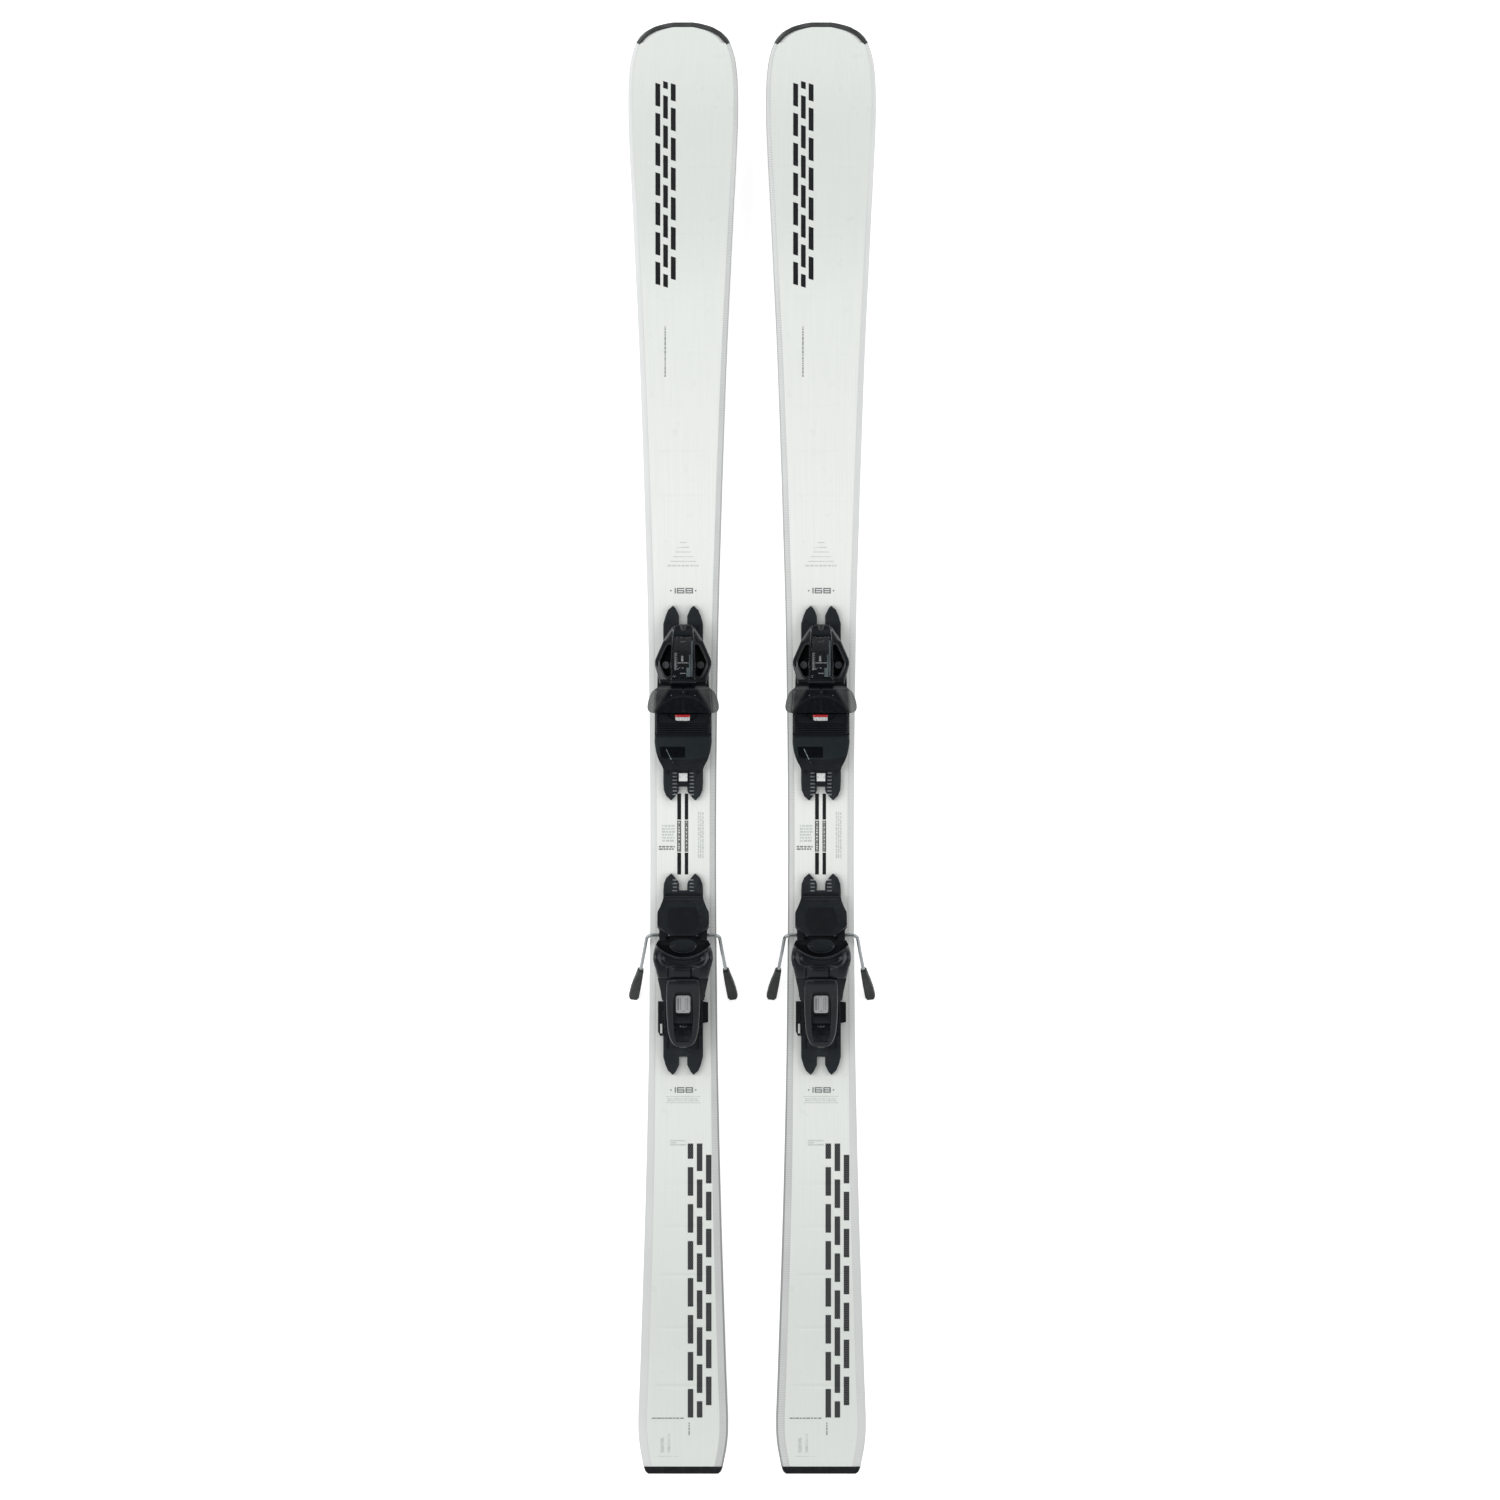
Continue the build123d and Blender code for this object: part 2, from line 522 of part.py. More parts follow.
# ---------------------------------------------------------------- heel piece
def heel_sledge():
    # slides on the heel track and carries the brake and the heel frame
    plan = [(22.0, -168.0), (24.0, -176.0), (29.8, -190.5), (29.8, -206.0), (27.6, -209.0), (27.6, -224.0), (22.2, -226.0),
            (22.2, -291.0), (28.8, -292.4), (28.8, -315.0), (22.2, -316.4), (22.2, -330.0)]
    body = prism_z(both(plan), platform_top + 1.2, 28.4)
    body = body - block(-(track_half + 0.25), track_half + 0.25, -400, -100, platform_top - 1, track_top + 0.25)
    # room for the latch on the left
    body = body - block(-40.0, -22.6, -340.0, -291.0, 10.0, 40.0)
    # bearing blocks of the brake wire and pedal
    for s in (-1, 1):
        x0, x1 = sorted((s * 19.4, s * 27.6))
        body = body + block(x0, x1, -221.0, -209.0, 24.3, 31.2)
        x0, x1 = sorted((s * 19.4, s * 23.4))
        body = body + block(x0, x1, -180.0, -173.0, 24.3, 30.0) + rod("X", x0, pedal_axis_y, pedal_axis_z, 3.2, 4.0)
    # well for the wire's crank and the pedal's knuckle
    body = body - block(-19.3, 19.3, -224.0, -166.0, 24.2, 40.0)
    body = body + block(-19.4, 19.4, -224.0, -166.0, 24.3, 25.0)
    body = body - rod("X", -60.0, brake_axis_y, brake_axis_z, brake_wire_r + running, 120.0)
    body = body - rod("X", -60.0, pedal_axis_y, pedal_axis_z, 1.5 - 0.0, 120.0)
    body = body + rod("X", -22.9, pedal_axis_y, pedal_axis_z, 1.5, 45.8)
    # guide ways of the heel frame
    for s in (-1, 1):
        x0, x1 = sorted((s * 10.0, s * 13.0))
        body = body + block(x0, x1, -326.0, -229.0, 28.0, 30.0)
    # ear and pin of the side latch
    body = body + block(-29.0, -22.2, -298.6, -291.0, 28.0, 29.6) + rod("Z", latch_x, latch_y, 19.8, 1.3, 8.6)
    return body


def heel_frame():
    # carrier with two cheeks; it backs away from the boot against the forward-pressure spring
    base = block(-22.0, 22.0, -322.0, -229.0, 28.5, 33.0)
    for s in (-1, 1):
        x0, x1 = sorted((s * 9.8, s * 13.2))
        base = base - block(x0, x1, -330.0, -220.0, 28.0, 30.2)
    body = base
    cheek = [(-241.5, 30.0), (-250.6, 45.0), (-250.2, 56.0), (-252.5, 61.6), (-258.0, 64.0), (-263.5, 61.6),
             (-266.0, 56.0), (-270.0, 44.0), (-286.0, 33.0), (-286.0, 30.0)]
    for s in (-1, 1):
        x0, x1 = sorted((s * 19.8, s * 25.4))
        body = body + prism_x(cheek, x0, x1)
    # axle of the heel cup, fixed in the cheeks
    body = body + rod("X", -25.4, heel_axis_y, heel_axis_z, 4.0, 50.8)
    return one(body)


cup_rear = -290.0


def heel_cup():
    # jaw and spring barrel in one moulding
    wide = [(-222.6, 59.0), (-220.4, 63.4), (-228.0, 93.5), (-234.0, 99.0), (-241.0, 100.0), (-252.0, 97.0), (-262.8, 92.0),
            (-264.0, 84.0), (-276.0, 77.6), (-290.0, 70.0), (-290.0, 64.5), (-272.0, 67.2), (-258.0, 67.6), (-245.0, 60.5),
            (-240.0, 52.0)]
    plan = [(27.5, -218.0), (31.6, -226.0), (34.2, -236.0), (34.6, -242.0), (31.6, -254.0), (28.6, -267.0), (26.2, -278.0),
            (24.2, -290.0)]
    jaw = prism_x(wide, -36, 36) & prism_z(both(plan), 30, 110)
    # narrow middle between the cheeks
    middle = [(-224.0, 58.0), (-221.0, 63.0), (-240.0, 80.0), (-262.0, 84.0), (-290.0, 70.0), (-290.0, 52.0),
              (-272.0, 46.0), (-258.0, 44.0), (-246.0, 46.5), (-238.0, 51.0)]
    jaw = jaw + prism_x(middle, -19.2, 19.2)
    # spring barrel
    barrel = [(-262.0, 80.0), (-316.0, 62.5), (-319.0, 58.0), (-319.0, 44.0), (-314.0, 39.6), (-262.0, 46.0)]
    jaw = jaw + prism_x(barrel, -10.2, 10.2)
    # room for the boot's heel, open to the front and above the tongue
    jaw = jaw - prism_x([(-205.0, 66.0), (-222.0, 65.4), (-226.0, 69.0), (-238.6, 86.4), (-226.2, 95.0), (-205.0, 100.0)], -25.6, 25.6)
    # the rim follows the round back of the boot
    jaw = jaw - Pos(0, -200.0, 90.0) * Cylinder(40.0, 42.0)
    # axle hole
    jaw = jaw - rod("X", -60.0, heel_axis_y, heel_axis_z, 4.0 + running, 120.0)
    # tongue that the boot's heel treads on
    tongue = prism_x([(-219.6, 63.6), (-219.0, 66.0), (-224.0, 68.4), (-236.0, 66.0), (-240.0, 60.0), (-226.0, 60.6)], -16.4, 16.4)
    tongue_plan = both([(5.0, -217.4), (10.0, -219.0), (14.0, -224.0), (15.6, -230.0), (15.6, -240.0)])
    jaw = jaw + (tongue & prism_z(tongue_plan, 50, 80))
    # spring chamber along the barrel's axis
    jaw = jaw - barrel_rod(9.0 - 0.2, 2.0, 44.0)
    # hole of the adjusting screw at the barrel's end
    jaw = jaw - barrel_rod(4.0 + running, 40.0, 30.0)
    # scale recess on the barrel's back
    jaw = jaw - prism_x([(-281.0, 71.8), (-308.0, 63.05), (-308.6, 68.0), (-281.0, 78.0)], -8.8, 8.8)
    # two lugs with the lever's pivot pins
    for s in (-1, 1):
        x0, x1 = sorted((s * 12.0, s * 16.0))
        jaw = jaw + prism_x([(-265.4, 76.0), (-265.8, lever_axis_z + 1.0), (-267.8, lever_axis_z + 2.0),
                             (-270.0, lever_axis_z + 2.0), (-271.6, lever_axis_z), (-272.6, 76.0)], x0, x1)
        jaw = jaw + rod("X", s * 14.0 - 3.8, lever_axis_y, lever_axis_z, 1.4, 7.6)
    jaw = one(jaw)
    return jaw


barrel_slope = math.degrees(math.atan2(17.5, 54.0))
barrel_start = (-270.0, 64.4)


def barrel_rod(r, start, length):
    """Cylinder on the barrel's axis, which runs back and down."""
    a = math.radians(barrel_slope)
    y, z = barrel_start[0] - start * math.cos(a), barrel_start[1] - start * math.sin(a)
    return Pos(0, y, z) * Rotation(90 + barrel_slope, 0, 0) * Cylinder(r, length, align=(Align.CENTER, Align.CENTER, Align.MIN))


def heel_screw():
    body = barrel_rod(4.0, 41.0, 11.6)
    slot = barrel_rod(3.6, 50.2, 6.0) & block(-0.7, 0.7, -340, -200, 20, 90)
    return one(body - slot)


def heel_spring():
    a = barrel_slope
    length = 36.0
    turns = 7
    path = Helix(pitch=length / turns, height=length, radius=6.2, center=(0, 0, 0), direction=(0, 0, 1))
    section = Plane(origin=path @ 0, z_dir=path % 0) * Circle(1.15)
    coil = sweep(section, path=path, is_frenet=True)
    r = math.radians(a)
    y, z = barrel_start[0] - 3.6 * math.cos(r), barrel_start[1] - 3.6 * math.sin(r)
    return Pos(0, y, z) * Rotation(90 + a, 0, 0) * coil


def heel_indicator():
    return one(prism_x([(-284.5, 71.0), (-304.5, 64.5), (-304.2, 66.0), (-284.0, 72.6)], -8.4, 8.4))


def heel_lever():
    # plate over the jaw's back that becomes a loop round the barrel
    side = [(-265.2, 84.9), (-264.6, 92.2), (-270.0, 91.6), (-290.0, 81.0), (-330.0, 63.0), (-343.0, 55.6), (-345.0, 51.0),
            (-343.0, 44.0), (-337.0, 42.0), (-318.0, 52.0), (-291.2, 60.0), (-291.2, 71.2), (-276.0, 79.1)]
    plan = [(17.6, -264.0), (18.4, -268.0), (19.4, -276.0), (19.4, -290.0), (18.9, -306.0), (18.0, -322.0), (15.6, -334.0),
            (13.0, -339.8), (9.0, -343.2), (0.0, -344.6)]
    body = prism_x(side, -30, 30) & prism_z(both(plan), 30, 110)
    hole = both([(9.0, -280.4), (10.6, -282.6), (11.4, -300.0), (10.9, -320.0), (10.0, -331.0), (8.0, -336.6)])
    body = body - prism_z(hole, 20, 120)
    # pockets for the cup's lugs, and the holes of their pins
    for s in (-1, 1):
        x0, x1 = sorted((s * 11.6, s * 16.4))
        body = body - block(x0, x1, -273.4, -262.0, 70.0, 88.5)
        body = body - rod("X", s * 14.0 - 4.0, lever_axis_y, lever_axis_z, 1.4 + running, 8.0)
    body = one(body)
    body = eased(body, 2.0, lambda q: [e for e in q.edges().filter_by(Axis.Z) if e.center().Y < -300 and abs(e.center().X) > 12])
    return body


def heel_latch():
    # side lever that frees the sledge from its track
    body = prism_z([(-23.4, -295.2), (-23.4, -330.6), (-26.6, -331.0), (-29.0, -326.0), (-29.0, -295.2)], 20.0, 27.6)
    body = body + rod("Z", latch_x, latch_y, 20.0, 2.8, 7.6)
    body = body - rod("Z", latch_x, latch_y, 10.0, 1.3 + running, 30.0)
    return one(body)


def heel_parts():
    p = {}
    p["heel_sledge"] = one(heel_sledge())
    p["heel_frame"] = heel_frame()
    p["heel_cup"] = heel_cup()
    p["heel_spring"] = heel_spring()
    p["heel_screw"] = heel_screw()
    p["heel_indicator"] = heel_indicator()
    p["heel_lever"] = heel_lever()
    p["heel_latch"] = heel_latch()
    p["brake_arms"] = brake_arms()
    p["brake_tips"] = Compound([brake_tip(-1), brake_tip(1)])
    p["brake_pedal"] = brake_pedal()
    return p


def main():
    os.makedirs("parts", exist_ok=True)
    parts = {}
    parts.update(ski_parts())
    parts.update(track_parts())
    parts.update(toe_parts())
    parts.update(heel_parts())
    low = min(s.bounding_box().min.Z for s in parts["brake_tips"].solids())
    print("lowest point in the ski frame", round(low, 3), "nodes per ski", len(parts))
    for name, shape in parts.items():
        solids = list(shape.solids())
        for side, x in (("left", -ski_spacing / 2), ("right", ski_spacing / 2)):
            moved = [Pos(x, 0, -low) * s for s in solids]
            out = moved[0] if len(moved) == 1 else Compound(moved)
            export_step(out, f"parts/{side}_{name}.step")


main()
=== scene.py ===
import bpy
import bmesh
import bisect
import json
import math
import random
from mathutils import Vector, Matrix


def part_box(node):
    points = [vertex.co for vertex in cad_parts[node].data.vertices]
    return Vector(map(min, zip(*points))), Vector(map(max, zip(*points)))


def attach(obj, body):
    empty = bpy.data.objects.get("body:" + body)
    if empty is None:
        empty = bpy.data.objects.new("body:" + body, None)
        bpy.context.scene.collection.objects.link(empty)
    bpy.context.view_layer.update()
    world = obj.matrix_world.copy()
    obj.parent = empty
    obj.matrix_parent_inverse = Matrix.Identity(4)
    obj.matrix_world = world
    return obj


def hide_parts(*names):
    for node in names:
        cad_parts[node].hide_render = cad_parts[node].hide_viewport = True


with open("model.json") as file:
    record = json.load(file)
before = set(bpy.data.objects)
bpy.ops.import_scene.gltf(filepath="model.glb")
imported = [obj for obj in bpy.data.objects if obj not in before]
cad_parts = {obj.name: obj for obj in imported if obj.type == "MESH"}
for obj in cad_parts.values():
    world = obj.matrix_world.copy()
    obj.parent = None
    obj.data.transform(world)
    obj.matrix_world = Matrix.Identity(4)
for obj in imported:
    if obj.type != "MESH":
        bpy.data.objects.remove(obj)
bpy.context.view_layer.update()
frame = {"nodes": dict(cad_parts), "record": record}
record_bodies = frame["record"]["behaviour"]["bodies"]
body_of_node = {n: b for b, ns in record_bodies.items() for n in ns}

MM = 0.001
SIDES = ("left", "right")


def ski_origin(side):
    """Where a ski's own frame (x across, y along, z above the running base) lies in the row frame."""
    lo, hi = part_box(side + "_toe_track")
    return Vector(((lo.x + hi.x) / 2, 0.0, lo.z - 18.0 * MM))


ORIGIN = {s: ski_origin(s) for s in SIDES}

# ------------------------------------------------------------------ ski tables, millimetres, the same as the CAD's
outline = [(835.5, 11.0), (834.9, 15.5), (832.6, 25.9), (830.3, 33.2), (828.0, 37.8), (825.7, 41.9), (823.4, 45.1),
           (821.1, 47.5), (818.8, 49.8), (816.5, 51.5), (812.0, 54.0), (802.7, 57.5), (791.2, 60.4), (779.7, 62.0),
           (768.2, 62.9), (745.2, 63.45), (722.2, 63.3), (699.2, 62.5), (676.2, 61.4), (630.2, 59.0), (584.2, 56.7),
           (538.2, 54.5), (492.2, 52.3), (446.2, 50.3), (400.2, 48.6), (354.2, 47.0), (308.2, 45.4), (262.2, 44.0),
           (216.2, 42.6), (190.0, 41.8), (124.2, 40.3), (78.2, 39.6), (32.2, 39.0), (-13.8, 38.5), (-59.8, 38.2),
           (-117.3, 38.05), (-174.8, 38.2), (-243.8, 38.6), (-312.8, 39.3), (-358.8, 39.9), (-400.0, 40.7),
           (-450.8, 41.8), (-496.8, 42.95), (-542.8, 44.2), (-588.8, 45.6), (-634.8, 47.1), (-680.8, 48.6),
           (-726.8, 50.2), (-749.8, 51.1), (-772.8, 51.85), (-784.3, 51.8), (-795.8, 51.1), (-807.3, 49.6),
           (-818.8, 47.4), (-827.0, 45.7), (-835.5, 42.5)]
base_curve = [(835.5, 56.0), (800, 44.5), (750, 30.0), (700, 18.6), (650, 10.2), (600, 4.7), (550, 1.7), (500, 0.4),
              (460, 0.0)]
tail_curve = [(-700, 0.0), (-760, 1.2), (-800, 4.0), (-835.5, 8.5)]
thickness = [(835.5, 4.6), (800, 4.8), (750, 5.2), (700, 5.8), (650, 6.6), (600, 7.5), (550, 8.4), (500, 9.2),
             (460, 9.9), (350, 11.9), (250, 14.0), (190, 15.14), (-400, 14.93), (-460, 13.5), (-550, 11.2),
             (-640, 9.3), (-700, 8.0), (-760, 7.2), (-800, 6.8), (-835.5, 6.5)]
TIP_GUARD, TAIL_GUARD, BAND = 812.0, -827.0, 5.0
GROOVES = [672.1, 592.9, 520.3, 455.7, 395.3, 340.4, 289.8, -502.6, -552.0, -607.2, -668.2, -734.9]


def pchip(table):
    """Smooth curve through a table that never overshoots it."""
    t = sorted(table)
    xs, ys = [a for a, _ in t], [b for _, b in t]
    n = len(xs)
    h = [xs[i + 1] - xs[i] for i in range(n - 1)]
    d = [(ys[i + 1] - ys[i]) / h[i] for i in range(n - 1)]
    m = [0.0] * n
    for i in range(1, n - 1):
        if d[i - 1] * d[i] > 0:
            w1, w2 = 2 * h[i] + h[i - 1], h[i] + 2 * h[i - 1]
            m[i] = (w1 + w2) / (w1 / d[i - 1] + w2 / d[i])
    m[0], m[-1] = d[0], d[-1]

    def f(x):
        if x <= xs[0]:
            return ys[0]
        if x >= xs[-1]:
            return ys[-1]
        i = bisect.bisect_right(xs, x) - 1
        s = (x - xs[i]) / h[i]
        return (ys[i] * (1 + 2 * s) * (1 - s) ** 2 + m[i] * h[i] * s * (1 - s) ** 2
                + ys[i + 1] * s * s * (3 - 2 * s) + m[i + 1] * h[i] * s * s * (s - 1))
    return f


def smooth(a, b, x):
    if a == b:
        return 0.0 if x < a else 1.0
    t = min(1.0, max(0.0, (x - a) / (b - a)))
    return t * t * (3 - 2 * t)


half_width = pchip(outline)
nose_curve, heel_curve, thick_curve = pchip(base_curve), pchip(tail_curve), pchip(thickness)


def base_z(y):
    if y >= 460:
        return nose_curve(y)
    if y <= -700:
        return heel_curve(y)
    return 4.0 * (1 - ((y + 120) / 580) ** 2)


def top_z(y):
    if -400 <= y <= 190:
        return 18.0
    return base_z(y) + thick_curve(y)


def normals_2d(points):
    """Outward normals of an open (x, y) polyline that runs with its outside on the left."""
    out = []
    for i in range(len(points)):
        a, b = points[max(0, i - 1)], points[min(len(points) - 1, i + 1)]
        dx, dy = b[0] - a[0], b[1] - a[1]
        n = math.hypot(dx, dy) or 1.0
        out.append((dy / n, -dx / n))
    return out


# right half of the nose outline, from the guard's end round to the middle
nose = [(half_width(y), y) for y in [TIP_GUARD + (835.5 - TIP_GUARD) * (1 - (1 - i / 48) ** 2.2) for i in range(49)]]
nose += [(8.0, 835.5), (4.0, 835.5), (0.0, 835.5)]
nose[-4] = (11.0, 835.5)
nose_n = normals_2d(nose)
nose_n[-1] = (0.0, 1.0)
nose_in = [(x - nx * BAND, y - ny * BAND) for (x, y), (nx, ny) in zip(nose, nose_n)]
inner_table = {}
for x, y in nose_in:
    if x > 7.0 and y > TIP_GUARD - 3:
        inner_table[round(y, 2)] = x
inner_pts = sorted(inner_table.items())
mono = [inner_pts[0]]
for y, x in inner_pts[1:]:
    if y > mono[-1][0] + 0.15 and x < mono[-1][1]:
        mono.append((y, x))
inner_width = pchip(mono)
inner_end = mono[-1][0]


def sheet_width(y):
    return inner_width(y) if y > TIP_GUARD else half_width(y)


margin_width = pchip([(835, 4.5), (700, 5.2), (500, 6.0), (300, 6.8), (150, 7.0), (-350, 7.4), (-450, 8.6), (-600, 9.4),
                      (-827, 9.6)])


def groove(x, y):
    """Height of the shallow cross ribs pressed into the topsheet."""
    h = 0.0
    for g in GROOVES:
        d = y - g
        if -9 < d < 9:
            h += -0.5 * math.exp(-(d / 1.8) ** 2) + 0.28 * math.exp(-((d - 4.2) / 2.2) ** 2)
    if h:
        inner = sheet_width(y) - margin_width(y)
        h *= smooth(inner - 5.0, inner - 14.0, abs(x))
    return h


def surf_z(x, y):
    return top_z(y) + groove(x, y)


# ------------------------------------------------------------------ mesh helpers, all in millimetres in the ski frame
def mesh_of(name, verts, faces, face_mats=None):
    me = bpy.data.meshes.new(name)
    me.from_pydata([(x * MM, y * MM, z * MM) for x, y, z in verts], [], faces)
    if face_mats:
        me.polygons.foreach_set("material_index", face_mats)
    me.validate()
    return finish_mesh(me)


def finish_mesh(me, angle=32.0, recalc=True):
    """Outward normals, smooth faces, and sharp edges where the shape really turns."""
    bm = bmesh.new()
    bm.from_mesh(me)
    if recalc:
        bmesh.ops.recalc_face_normals(bm, faces=bm.faces)
    for f in bm.faces:
        f.smooth = True
    for e in bm.edges:
        e.smooth = not (len(e.link_faces) == 2 and e.calc_face_angle(0.0) > math.radians(angle))
    bm.to_mesh(me)
    bm.free()
    return me


def loft(sections, mats=None, closed=True):
    """Closed solid through rings with the same number of points; mats gives each ring side's material."""
    n = len(sections[0])
    verts = [p for s in sections for p in s]
    faces, fm = [], []
    for i in range(len(sections) - 1):
        for j in range(n):
            k = (j + 1) % n
            faces.append((i * n + j, i * n + k, (i + 1) * n + k, (i + 1) * n + j))
            fm.append(mats[j] if mats else 0)
    if closed:
        faces.append(tuple(range(n)))
        last = (len(sections) - 1) * n
        faces.append(tuple(last + j for j in reversed(range(n))))
        fm += [0, 0]
    return verts, faces, fm


def joined(parts):
    """Several (verts, faces, mats) as one."""
    verts, faces, fm = [], [], []
    for v, f, m in parts:
        o = len(verts)
        verts += v
        faces += [tuple(i + o for i in q) for q in f]
        fm += m
    return verts, faces, fm


def slab(y0, y1, left, right, top, bottom, step=0.8, across=40, r=1.2, r_end=None, power=2.0, under=False):
    """Solid over a plan between two edges, with a sculpted top that rounds over at its rim.
    left, right give x at y; top(x, y) and bottom(x, y) give z."""
    r_end = r if r_end is None else r_end
    n = max(4, int(abs(y1 - y0) / step))
    ys = [y0 + (y1 - y0) * i / n for i in range(n + 1)]
    if r_end > 0:
        extra = [min(y0, y1) + r_end * q for q in (0.06, 0.18, 0.36, 0.6)] + \
                [max(y0, y1) - r_end * q for q in (0.06, 0.18, 0.36, 0.6)]
        ys = sorted(set(ys + extra))
    else:
        ys = sorted(ys)
    us = []
    for i in range(across + 1):
        t = -1 + 2 * i / across
        us.append(math.copysign(1 - (1 - abs(t)) ** 1.35, t))
    sections = []
    lo, hi = min(y0, y1), max(y0, y1)

    def fall(d, rad):
        if rad <= 0 or d >= rad:
            return 0.0
        q = 1 - max(0.0, d) / rad
        return rad * (1 - math.sqrt(max(0.0, 1 - q ** power)))
    for y in ys:
        xl, xr = left(y), right(y)
        mid, h = (xl + xr) / 2, (xr - xl) / 2
        sec = []
        de = min(y - lo, hi - y)
        for u in us:
            x = mid + h * u
            d = h * (1 - abs(u))
            z = top(x, y) - fall(d, r) - fall(de, r_end)
            sec.append((x, y, z))
        if under:
            sections.append(sec + [(x, yy, min(bottom(x, yy), z - 0.05)) for x, yy, z in reversed(sec)])
            continue
        b = [(mid + h, y, bottom(mid + h, y)), (mid - h, y, bottom(mid - h, y))]
        zmax = min(sec[0][2], sec[-1][2])
        b = [(x, yy, min(z, zmax - 0.05)) for x, yy, z in b]
        sections.append(sec + b)
    return loft(sections)


def tagged(part, rule):
    """The same solid with each face's material chosen from its middle point."""
    verts, faces, fm = part
    out = []
    for q in faces:
        c = [sum(verts[i][k] for i in q) / len(q) for k in range(3)]
        out.append(rule(*c))
    return verts, faces, out


def fall_off(d, r):
    """How far a rounded edge of radius r has dropped at distance d from it."""
    if d >= r:
        return 0.0
    q = 1 - max(0.0, d) / r
    return r * (1 - math.sqrt(max(0.0, 1 - q * q)))


def rounded(half, lo, hi, rad):
    """Half width along y of a plate with rounded corners."""
    return lambda y: half - fall_off(min(y - lo, hi - y), rad)


def strip_mesh(name, polys_by_mat, lift=0.12, thick=0.2, cut=1.0, height=surf_z, cut_x=None):
    """Thin printed shapes that follow a surface. polys_by_mat: list of lists of convex (x, y) polygons."""
    bm = bmesh.new()

    def clip(pts, axis, at, keep_above):
        out = []
        for i in range(len(pts)):
            a, b = pts[i], pts[(i + 1) % len(pts)]
            ina = a[axis] >= at if keep_above else a[axis] <= at
            inb = b[axis] >= at if keep_above else b[axis] <= at
            if ina:
                out.append(a)
            if ina != inb:
                t = (at - a[axis]) / (b[axis] - a[axis])
                out.append((a[0] + (b[0] - a[0]) * t, a[1] + (b[1] - a[1]) * t))
        return out

    def bands(pts, axis, width):
        if not width or len(pts) < 3:
            return [pts]
        vals = [p[axis] for p in pts]
        k0, k1 = math.floor(min(vals) / width), math.ceil(max(vals) / width)
        return [clip(clip(pts, axis, k * width, True), axis, (k + 1) * width, False) for k in range(k0, k1)]
    for mi, polys in enumerate(polys_by_mat):
        for pts in polys:
            cache = {}
            for band in bands(pts, 1, cut):
                for q in bands(band, 0, cut_x):
                    clean = []
                    for p in q:
                        if not clean or math.hypot(p[0] - clean[-1][0], p[1] - clean[-1][1]) > 1e-4:
                            clean.append(p)
                    if len(clean) > 1 and math.hypot(clean[0][0] - clean[-1][0], clean[0][1] - clean[-1][1]) <= 1e-4:
                        clean.pop()
                    n = len(clean)
                    area = sum(clean[i][0] * clean[(i + 1) % n][1] - clean[(i + 1) % n][0] * clean[i][1]
                               for i in range(n)) / 2 if n > 2 else 0
                    if n < 3 or abs(area) < 1e-4:
                        continue
                    if area < 0:
                        clean.reverse()
                    vs = []
                    for p in clean:
                        key = (round(p[0], 4), round(p[1], 4))
                        if key not in cache:
                            cache[key] = bm.verts.new((p[0] * MM, p[1] * MM, (height(*p) + lift) * MM))
                        vs.append(cache[key])
                    try:
                        f = bm.faces.new(vs)
                        f.material_index = mi
                    except ValueError:
                        pass
    down = bmesh.ops.extrude_face_region(bm, geom=list(bm.faces), use_keep_orig=True)
    moved = [v for v in down["geom"] if isinstance(v, bmesh.types.BMVert)]
    for v in moved:
        v.co.z -= thick * MM
    me = bpy.data.meshes.new(name)
    bmesh.ops.recalc_face_normals(bm, faces=bm.faces)
    bm.to_mesh(me)
    bm.free()
    return finish_mesh(me)


def cad_copy(node, bevel=0.5, segments=3, angle=30.0, side="left"):
    """The CAD node's own shape as a new mesh, with whole faces and its hard corners rounded."""
    bm = bmesh.new()
    bm.from_mesh(frame["nodes"][f"{side}_{node}"].data)
    o = ORIGIN[side]
    bmesh.ops.translate(bm, vec=(-o.x, -o.y, -o.z), verts=bm.verts)
    bmesh.ops.remove_doubles(bm, verts=bm.verts, dist=3e-6)
    bmesh.ops.dissolve_limit(bm, angle_limit=math.radians(0.8), verts=bm.verts, edges=bm.edges,
                             use_dissolve_boundaries=False)
    if bevel:
        sharp = [e for e in bm.edges if len(e.link_faces) == 2 and e.calc_face_angle(0.0) > math.radians(angle)
                 and e.calc_length() > 0.35 * MM]
        bmesh.ops.bevel(bm, geom=sharp, offset=bevel * MM, offset_type="OFFSET", segments=segments, profile=0.5,
                        affect="EDGES", clamp_overlap=True)
        bmesh.ops.remove_doubles(bm, verts=bm.verts, dist=1e-6)
    me = bpy.data.meshes.new(node)
    bm.to_mesh(me)
    bm.free()
    return finish_mesh(me, 40.0, recalc=False)


# ------------------------------------------------------------------ materials
def srgb(r, g, b):
    return tuple(c / 12.92 if c <= 0.04045 else ((c + 0.055) / 1.055) ** 2.4
                 for c in (r / 255, g / 255, b / 255)) + (1.0,)


